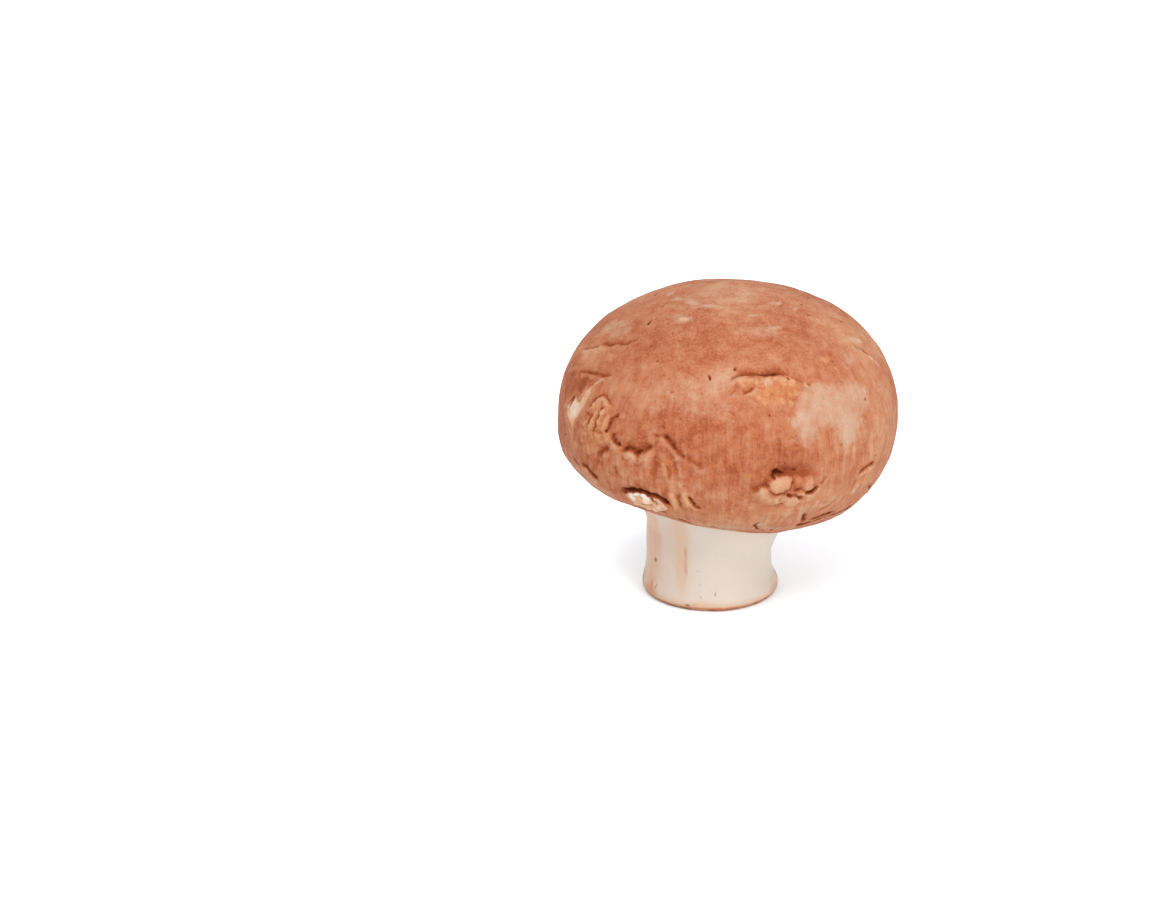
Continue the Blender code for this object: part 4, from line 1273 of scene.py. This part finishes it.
@dataclass
class Cap:
    """The cap's skin, from crown to the groove round the stem."""

    middle: Numbers
    form: CapForm
    cells: int = 128
    gather: float = 0.25
    gather_towards: tuple[float, float, float] = (0.1, -0.92, -0.38)
    swell: float = 0.30
    swell_scale: float = 2.3
    swell_shift: tuple[float, float, float] = (3.1, 7.7, 1.3)
    coarse_relief: float = 0.075
    fine_relief: float = 0.030
    streak_relief: float = 0.035
    # The direction towards the camera; skin turned away from it gets painted shade.
    facing: tuple[float, float, float] = (0.0, -0.94, 0.34)
    relief_from: float = 13.2
    relief_to: float = 16.2
    veil_radius: float = 15.3
    veil_sink: float = 0.22
    bulge_passes: int = 40
    bulge_unit: float = 0.12

    def ball(self) -> tuple[Numbers, list[tuple[int, ...]]]:
        """An even ball of four-sided faces, with smaller faces towards the front.

        Returns:
            The direction of each point and the faces.
        """
        steps = np.arange(-self.cells, self.cells + 1, 2)
        first, second = np.meshgrid(steps, steps, indexing="ij")
        count = len(steps)
        lattice, quads = [], []
        for axis in range(3):
            for sign in (1, -1):
                sheet = np.zeros((count * count, 3), int)
                sheet[:, axis] = sign * self.cells
                sheet[:, (axis + 1) % 3] = first.ravel()
                sheet[:, (axis + 2) % 3] = second.ravel()
                start = len(lattice) * count * count
                corner = start + (np.arange(count - 1)[:, None] * count + np.arange(count - 1)).ravel()
                ring = np.stack((corner, corner + count, corner + count + 1, corner + 1), axis=1)
                quads.append(ring if sign > 0 else ring[:, ::-1])
                lattice.append(sheet)
        whole, index = np.unique(np.concatenate(lattice), axis=0, return_inverse=True)
        direction = np.tan(whole / self.cells * math.pi / 4)
        direction /= np.linalg.norm(direction, axis=1)[:, None]
        direction = direction + self.gather * np.array(self.gather_towards)
        direction /= np.linalg.norm(direction, axis=1)[:, None]
        return direction, index.ravel()[np.concatenate(quads)].tolist()

    def underside(self, skin: SkinField) -> None:
        """Turns the skin in under the margin, where the cream veil joins it, gathered round the stem."""
        from_stem = self.form.from_stem(skin.point)
        below = skin.point[:, 2] < 0
        around = np.arctan2(skin.point[:, 0] + self.form.stem_offset, -skin.point[:, 1])
        ring = np.stack((np.cos(around), np.sin(around), from_stem * 0.03), axis=1)
        ragged = noise_at(ring, 3.2, 2.0) * 0.7 + noise_at(ring, 11.0, 4.0) * 0.35
        depth_in = (self.veil_radius + 0.8 * ragged) - from_stem
        share = smooth_step(-0.15, 0.25, depth_in) * below
        skin.lay(VEIL, share)
        skin.height += share * (0.16 * noise_at(ring, 14.0, 8.0) - self.veil_sink)
        skin.height += 0.12 * bell(depth_in + 0.3, 0.35) * below
        skin.lay(STAIN, 0.5 * bell(depth_in - 0.05, 0.18) * below * (0.5 + ragged))

    def start(self, direction: Numbers, point: Numbers, faces: list[tuple[int, ...]]) -> SkinField:
        """The skin before its marks, with its broad lumps and fine grain."""
        smooth = make_mesh("cap_smooth", point, faces)
        normal = np.empty(len(point) * 3, np.float32)
        smooth.data.vertex_normals.foreach_get("vector", normal)
        bpy.data.objects.remove(smooth)
        skin = SkinField(self.form, direction, point, normal.reshape(-1, 3).astype(float))
        skin.height += self.swell * raw_noise(direction * self.swell_scale + self.swell_shift)
        low = smooth_step(math.radians(40), math.radians(95), skin.drop)
        skin.height += (self.coarse_relief * skin.coarse + self.fine_relief * skin.fine
                        + self.streak_relief * skin.streak * low)
        return skin

    def build(self) -> bpy.types.Object:
        """Makes the cap."""
        direction, faces = self.ball()
        point = self.form.surface(direction)
        skin = self.start(direction, point, faces)
        for mark in front_marks() + back_marks():
            mark.apply(skin)
        # Painted shade: skin turned away from the camera is laid deeper red-brown.
        behind = smooth_step(0.35, -0.80, skin.normal @ np.array(self.facing) + 0.35 * skin.coarse)
        skin.lay(RUDDY, 0.5 * behind)
        from_stem = self.form.from_stem(point)
        on_skin = np.where(point[:, 2] < 0, smooth_step(self.relief_from, self.relief_to, from_stem), 1.0)
        skin.height *= on_skin
        self.underside(skin)
        bulge = skin.bulge(np.array(faces), self.bulge_passes, self.bulge_unit)
        shaped = point + skin.normal * skin.height[:, None] + skin.slide * on_skin[:, None]
        shaped[:, 2] += self.form.groove_lift(point)
        cap = make_mesh("cap_skin", shaped + self.middle, faces)
        held = {"spot": shaped, "grain": skin.grain, "down": skin.drop / (math.pi / 2), "bulge": bulge}
        hold(cap.data, held | {tint.value: share for tint, share in skin.tints.items()})
        cap.data.materials.append(SkinFinish().material())
        return cap


class FleshField:
    """The stem's side while it is shaped: a radius and a share of each tint at every point."""

    def __init__(self, height: Numbers, turn: Numbers, radius: Numbers) -> None:
        """Starts from the smooth stem.

        Args:
            height: Height of each point.
            turn: Its angle round the stem from the front, in radians.
            radius: Its distance from the stem's axis.
        """
        self.height, self.turn, self.radius = height, turn, radius
        grain_radius = 9.5
        self.grain = np.stack((np.cos(turn) * grain_radius, np.sin(turn) * grain_radius, height), axis=1)
        self.thread = noise_at(self.grain * (1, 1, 0.12), 1.5, 6.0)
        self.lumps = noise_at(self.grain, 0.35, 9.0)
        self.fine = noise_at(self.grain, 1.6, 12.0)
        self.tints = {tint: np.zeros(len(height)) for tint in Tint}

    def lay(self, tint: Tint, share: Numbers) -> None:
        """Adds a share of a tint over what is there already."""
        self.tints[tint] = over(self.tints[tint], share)

    def facing(self, bearing: float) -> Numbers:
        """1 on the side that faces a bearing in degrees, falling smoothly to 0 on the other side."""
        return 0.5 + 0.5 * np.cos(self.turn - math.radians(bearing))

    def around(self, scale: float, shift: float) -> Numbers:
        """Noise that changes round the stem and not up it."""
        return noise_at(self.grain * (1, 1, 0), scale, shift)


@dataclass(frozen=True)
class StemMark:
    """A small mark on the stem, by bearing in degrees and height, with its half width and half height."""

    bearing: float
    height: float
    across: float
    tall: float
    tint: Tint
    amount: float
    lean: float = 0.0
    depth: float = 0.0

    def apply(self, flesh: FleshField) -> None:
        """Colours the flesh and sinks it."""
        away = (np.degrees(flesh.turn) - self.bearing + 180) % 360 - 180
        right = np.radians(away) * flesh.radius
        u, v = in_oval(right, flesh.height - self.height, self.lean, self.across, self.tall)
        edge = np.hypot(u, v) + 0.2 * flesh.lumps + 0.1 * flesh.fine
        share = self.amount * (1 - smooth_step(0.3, 1.3, edge))
        flesh.lay(self.tint, share)
        flesh.radius = flesh.radius - self.depth * share


STEM_MARKS = (
    StemMark(-26.5, 9.5, 1.6, 8.5, AMBER, 0.50),
    StemMark(-31, 11.5, 2.4, 5.0, AMBER, 0.30),
    StemMark(-22.8, 6.6, 0.26, 2.3, RIM, 0.36, lean=1),
    StemMark(-23.3, 8.0, 0.34, 0.7, RIM, 0.40, lean=6),
    StemMark(-22.6, 5.4, 0.26, 0.8, RIM, 0.30),
    StemMark(-27.0, 5.5, 0.9, 2.6, AMBER, 0.40),
    # These broad red-brown marks on the left side are pinkish flesh and painted warm shade on that side.
    StemMark(-66, 9.0, 2.6, 14.0, RUDDY, 0.80),
    StemMark(-54, 10.5, 0.8, 6.0, AMBER, 0.35),
    StemMark(-84, 5.0, 1.6, 9.0, RUDDY, 0.45),
    StemMark(-47, 8.0, 2.4, 14.0, RUDDY, 0.26),
    StemMark(-60, 5.1, 0.34, 0.26, STAIN, 1.0, depth=0.10),
    StemMark(3.2, 2.84, 0.13, 0.32, STAIN, 0.6, lean=-12, depth=0.06),
    StemMark(-11.5, 5.8, 0.17, 0.15, STAIN, 0.35),
    StemMark(-9.2, 4.0, 0.13, 0.12, STAIN, 0.25),
    StemMark(-9.2, 2.3, 0.16, 0.18, STAIN, 0.25),
    StemMark(-62, 2.2, 0.26, 0.55, RIM, 0.75, lean=30, depth=0.05),
    StemMark(-55, 2.3, 0.18, 0.50, STAIN, 0.5, lean=-32, depth=0.05),
    StemMark(-66, 2.1, 1.6, 1.2, RUDDY, 0.8),
    StemMark(-64, 1.3, 2.6, 0.9, RIM, 0.55),
    StemMark(-86, 1.5, 1.2, 1.5, RIM, 0.7),
    StemMark(90, 1.6, 1.2, 1.7, RIM, 0.7),
    StemMark(-20.5, 0.98, 0.42, 0.17, STAIN, 1.0),
    StemMark(-14, 1.15, 0.6, 0.12, RIM, 0.4, lean=14),
    StemMark(80, 2.2, 3.6, 1.5, AMBER, 0.45),
    StemMark(72, 1.3, 2.2, 0.8, RIM, 0.45),
    StemMark(88, 6.0, 0.30, 3.5, AMBER, 0.4),
    StemMark(120, 8.0, 0.7, 4.0, AMBER, 0.5),
    StemMark(141, 4.6, 0.22, 0.28, STAIN, 0.8, depth=0.08),
    StemMark(170, 6.5, 2.4, 6.0, RUDDY, 0.3),
    StemMark(-150, 7.0, 0.5, 3.0, AMBER, 0.6),
    StemMark(-128, 3.0, 0.20, 0.24, STAIN, 0.8, depth=0.08),
    StemMark(-110, 8.0, 0.8, 4.0, AMBER, 0.35),
    StemMark(-170, 2.2, 0.16, 0.28, STAIN, 0.6, depth=0.05),
)


@dataclass
class Stem:
    """The stem's flesh: a waisted shaft with a lip round its cut foot and a collar that meets the cap."""

    axis: Numbers
    cut_radius: float = 9.1
    foot_radius: float = 10.0
    foot_height: float = 1.2
    foot_reach: float = 2.0
    waist_radius: float = 9.22
    collar_radius: float = 12.2
    collar_base: float = 8.6
    collar_height: float = 15.4
    collar_curve: float = 1.3
    seat_height: float = 17.6
    seat_slope: float = 0.24
    lean: float = 0.21
    lean_height: float = 6.0
    wobble: tuple[tuple[int, float, float], ...] = ((2, 0.9, 0.010), (3, 2.2, 0.006), (5, 0.4, 0.003))
    thread_relief: float = 0.035
    lump_relief: float = 0.10
    fine_relief: float = 0.012
    burr: float = 0.10
    rim_height: float = 0.68
    thick_sides: tuple[float, ...] = (55, -50)
    dark_sides: tuple[tuple[float, int], ...] = ((-62, 4), (80, 6))
    soaked_sides: tuple[tuple[float, int, float], ...] = ((-52, 2, 1.0), (75, 4, 0.7))
    cut_rings: tuple[float, ...] = (0.94, 0.8, 0.55, 0.25)
    sharp_angle: float = 55.0
    around: int = 420
    rings: int = 150
    foot_rings: int = 16

    def radius(self, height: Numbers) -> Numbers:
        """Radius of the stem at each height, before its wobble."""
        down = np.clip(1 - height / self.foot_height, 0, 1)
        foot = self.cut_radius + (self.foot_radius - self.cut_radius) * np.sqrt(1 - down * down)
        narrowing = np.exp(-(((height - self.foot_height) / self.foot_reach) ** 2))
        rise = np.clip((height - self.collar_base) / (self.collar_height - self.collar_base), 0, 1)
        shaft = (self.waist_radius + (self.foot_radius - self.waist_radius) * narrowing
                 + (self.collar_radius - self.waist_radius) * rise ** self.collar_curve)
        return np.where(height < self.foot_height, foot, shaft)

    def lattice(self) -> tuple[Numbers, Numbers]:
        """Height and angle from the front of each point of the side, ring by ring from the foot."""
        foot = self.foot_height * (1 - np.cos(np.linspace(0, math.pi / 2, self.foot_rings)))
        shaft = np.linspace(self.foot_height, self.seat_height, self.rings - self.foot_rings + 1)[1:]
        turns = np.arange(self.around) * 2 * math.pi / self.around
        height, turn = np.meshgrid(np.concatenate((foot, shaft)), turns, indexing="ij")
        return height.ravel(), turn.ravel()

    def roughen(self, flesh: FleshField) -> None:
        """Gives the side its wobble, threads and lumps, and the cut edge its burr."""
        height, fine = flesh.height, flesh.fine
        seated = smooth_step(self.collar_base, self.collar_height, height)
        wobble = 1 + sum(share * np.sin(lobes * flesh.turn + phase) for lobes, phase, share in self.wobble)
        radius = flesh.radius * (wobble * (1 - seated) + seated)
        off_cut = smooth_step(0.0, 0.8, height)
        relief = self.thread_relief * flesh.thread + self.lump_relief * flesh.lumps + self.fine_relief * fine
        flesh.radius = radius + relief * off_cut + self.burr * fine * bell(height - 0.35, 0.4)

    def brown_edge(self, flesh: FleshField) -> None:
        """Browns the rim of the cut and the flesh just above it, and warms the flesh under the cap."""
        height, turn, fine = flesh.height, flesh.turn, flesh.fine
        broken = 0.92 + 0.4 * flesh.around(0.5, 21.0) + 0.3 * fine
        thick = self.rim_height
        for bearing in self.thick_sides:
            thick = thick + 0.06 * np.cos(turn - math.radians(bearing))
        thick = thick + 0.10 * fine
        rim = np.clip(broken * (1 - smooth_step(thick - 0.12, thick + 0.16, height)), 0, 1)
        sides = sum(flesh.facing(bearing) ** power for bearing, power in self.dark_sides)
        dark = np.clip(0.08 + 0.95 * sides + 0.6 * flesh.around(0.8, 33.0), 0, 0.85)
        flesh.lay(STAIN, bell(height - 0.28, 0.26) * dark)
        flesh.lay(RIM, rim)
        halo = sum(share * flesh.facing(bearing) ** power for bearing, power, share in self.soaked_sides)
        soaked = np.clip(0.25 + halo, 0, 1) * (1 - smooth_step(0.8, 2.0, height + 0.5 * flesh.lumps))
        flesh.tints[AMBER] = np.maximum(flesh.tints[AMBER], 0.75 * soaked)
        flesh.lay(RUDDY, 0.25 * smooth_step(11.5, 15.0, height + 0.5 * flesh.thread))

    def build(self) -> bpy.types.Object:
        """Makes the stem."""
        height, turn = self.lattice()
        flesh = FleshField(height, turn, self.radius(height))
        self.roughen(flesh)
        for mark in STEM_MARKS:
            mark.apply(flesh)
        self.brown_edge(flesh)

        points = np.stack((np.sin(turn) * flesh.radius, -np.cos(turn) * flesh.radius, height), axis=1)
        points[:, 0] -= self.lean * smooth_step(self.foot_height, self.lean_height, height)
        raised = smooth_step(self.foot_height, self.collar_base, height)
        points[:, 2] -= self.seat_slope * points[:, 0] * raised
        count = self.around
        ring, place = np.arange(self.rings - 1)[:, None] * count, np.arange(count)
        start, beside = (ring + place).ravel(), (ring + (place + 1) % count).ravel()
        faces = np.stack((start, beside, beside + count, start + count), axis=1).tolist()
        points, grain, tints, ends = self.closed(points, flesh)
        stem = make_mesh("stem_flesh", points + self.axis, faces + ends)
        held = {"spot": points, "grain": grain}
        hold(stem.data, held | {tint.value: share for tint, share in tints.items()})
        stem.data.materials.append(StemFinish().material())
        stem.data.set_sharp_from_angle(angle=math.radians(self.sharp_angle))
        return stem

    def closed(self, points: Numbers, flesh: FleshField
               ) -> tuple[Numbers, Numbers, dict[Tint, Numbers], list[tuple[int, ...]]]:
        """Adds the flat cut under the foot and the top that sits in the cap.

        Args:
            points: The points of the side, ring by ring from the foot.
            flesh: Their grain and tints.

        Returns:
            The points, grain and tints with those of the two ends added, and the faces of the ends.
        """
        count, base = self.around, len(points)
        after = [(place + 1) % count for place in range(count)]
        cut = [points[:count] * (share, share, 1) for share in self.cut_rings]
        faces: list[tuple[int, ...]] = []
        outer = list(range(count))
        for index in range(len(cut)):
            inner = [base + index * count + place for place in range(count)]
            faces += [(outer[i], inner[i], inner[j], outer[j]) for i, j in enumerate(after)]
            outer = inner
        middle = base + len(cut) * count
        faces += [(outer[i], middle, outer[j]) for i, j in enumerate(after)]
        last = (self.rings - 1) * count
        faces += [(last + i, last + j, middle + 1) for i, j in enumerate(after)]
        ends = np.array(((0.0, 0.0, 0.0), (0.0, 0.0, self.seat_height)))
        grain = np.concatenate((flesh.grain, *cut, ends))
        points = np.concatenate((points, *cut, ends))
        blank = np.zeros(len(points) - base)
        tints = {tint: np.concatenate((share, blank)) for tint, share in flesh.tints.items()}
        return points, grain, tints, faces


@dataclass(frozen=True)
class Softbox:
    """A square soft light on the mushroom, by bearing and elevation in degrees and distance in metres."""

    name: str
    bearing: float
    elevation: float
    distance: float
    side: float
    watts: float


def add_object(name: str, data: bpy.types.ID, place: Vector, facing: Vector) -> bpy.types.Object:
    """Adds a lamp or a camera at a place, looking along a direction with its top up."""
    made = bpy.data.objects.new(name, data)
    bpy.context.scene.collection.objects.link(made)
    made.location = place
    made.rotation_mode = "QUATERNION"
    made.rotation_quaternion = facing.to_track_quat("-Z", "Y")
    return made


@dataclass
class Studio:
    """A plain white floor, soft light and the camera, in metres but for foot_right and foot_down."""

    aim: Vector
    ambient: float = 1.1
    glow: float = 0.175
    softboxes: tuple[Softbox, ...] = (
        Softbox("key", -12, 60, 1.0, 0.7, 10.5),
        Softbox("front", 35, 15, 1.1, 0.8, 8.2),
    )
    floor_depth: float = 2.0
    floor_width: float = 2.5
    floor_height: float = 2.0
    floor_bend: float = 0.6
    floor_steps: int = 12
    foot_right: float = 19.09
    foot_down: float = 20.35
    camera_elevation: float = 20.0
    camera_distance: float = 0.550
    pixels_per_mm: float = 6.78
    picture_width: float = 1160.0
    sensor_width: float = 36.0

    def floor(self) -> None:
        """A wide white floor that curves up far behind, so that the picture stays white."""
        depth, bend = self.floor_depth, self.floor_bend
        angles = [math.pi / 2 * step / self.floor_steps for step in range(self.floor_steps + 1)]
        curve = [(depth - bend + bend * math.sin(angle), bend - bend * math.cos(angle)) for angle in angles]
        profile = [(-depth, 0.0), *curve, (depth, self.floor_height)]
        points = np.array([(side * self.floor_width, y, z) for y, z in profile for side in (-1, 1)]) / MM
        faces = [(2 * i, 2 * i + 1, 2 * i + 3, 2 * i + 2) for i in range(len(profile) - 1)]
        floor = make_mesh("floor", points, faces)
        floor.data.materials.append(Graph("floor_white").finish({
            "Base Color": (0.80, 0.83, 0.86, 1.0),
            "Emission Color": (1.0, 1.0, 1.0, 1.0),
            "Emission Strength": self.glow,
            "Roughness": 0.9,
            "Specular IOR Level": 0.1,
        }))

    def lights(self) -> None:
        """The white surroundings and the soft lights."""
        world = bpy.data.worlds.new("white_room")
        world.use_nodes = True
        background = world.node_tree.nodes["Background"]
        background.inputs["Color"].default_value = (1.0, 1.0, 1.0, 1.0)
        background.inputs["Strength"].default_value = self.ambient
        bpy.context.scene.world = world
        for box in self.softboxes:
            lamp = bpy.data.lights.new(box.name, "AREA")
            lamp.shape, lamp.size, lamp.energy = "SQUARE", box.side, box.watts
            turn, up = math.radians(box.bearing), math.radians(box.elevation)
            away = Vector((math.sin(turn) * math.cos(up), -math.cos(turn) * math.cos(up), math.sin(up)))
            add_object(box.name, lamp, self.aim + away * box.distance, -away)

    def camera(self, foot: Numbers) -> None:
        """Sets the camera at the photograph's viewing angle.

        Args:
            foot: Middle of the stem's cut face, in metres. It shows foot_right millimetres to the right of
                the picture's middle and foot_down below it.
        """
        up = math.radians(self.camera_elevation)
        back = Vector((0.0, -math.cos(up), math.sin(up)))
        upward = Vector((0.0, math.sin(up), math.cos(up)))
        aside = Vector((self.foot_right * MM, 0.0, 0.0))
        target = Vector(foot.tolist()) - aside + upward * (self.foot_down * MM)
        lens = bpy.data.cameras.new("camera")
        lens.sensor_width = self.sensor_width
        lens.lens = self.pixels_per_mm * self.camera_distance / MM / self.picture_width * self.sensor_width
        lens.clip_start, lens.clip_end = 0.01, 20.0
        bpy.context.scene.camera = add_object("camera", lens, target + back * self.camera_distance, -back)


def main() -> None:
    """Builds the mushroom on the frame, then the studio round it."""
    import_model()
    logging.basicConfig(level=logging.INFO, format="%(name)s: %(message)s")
    bpy.context.scene.view_settings.view_transform = "Standard"

    low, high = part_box("stem")
    axis = np.array(((low.x + high.x) / 2, (low.y + high.y) / 2, 0.0)) / MM
    form = CapForm()
    cap = Cap(axis + (form.stem_offset, 0.0, form.widest_height), form).build()
    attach(cap, "root")
    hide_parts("cap")
    log.info("cap: %d faces", len(cap.data.polygons))

    stem = Stem(axis).build()
    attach(stem, "root")
    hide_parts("stem")
    log.info("stem: %d faces", len(stem.data.polygons))

    studio = Studio(aim=Vector((0.0, 0.0, 0.025)))
    studio.floor()
    studio.lights()
    studio.camera(axis * MM)
    log.info("studio: floor, %d soft lights and camera", len(studio.softboxes))


if __name__ == "__main__":
    main()
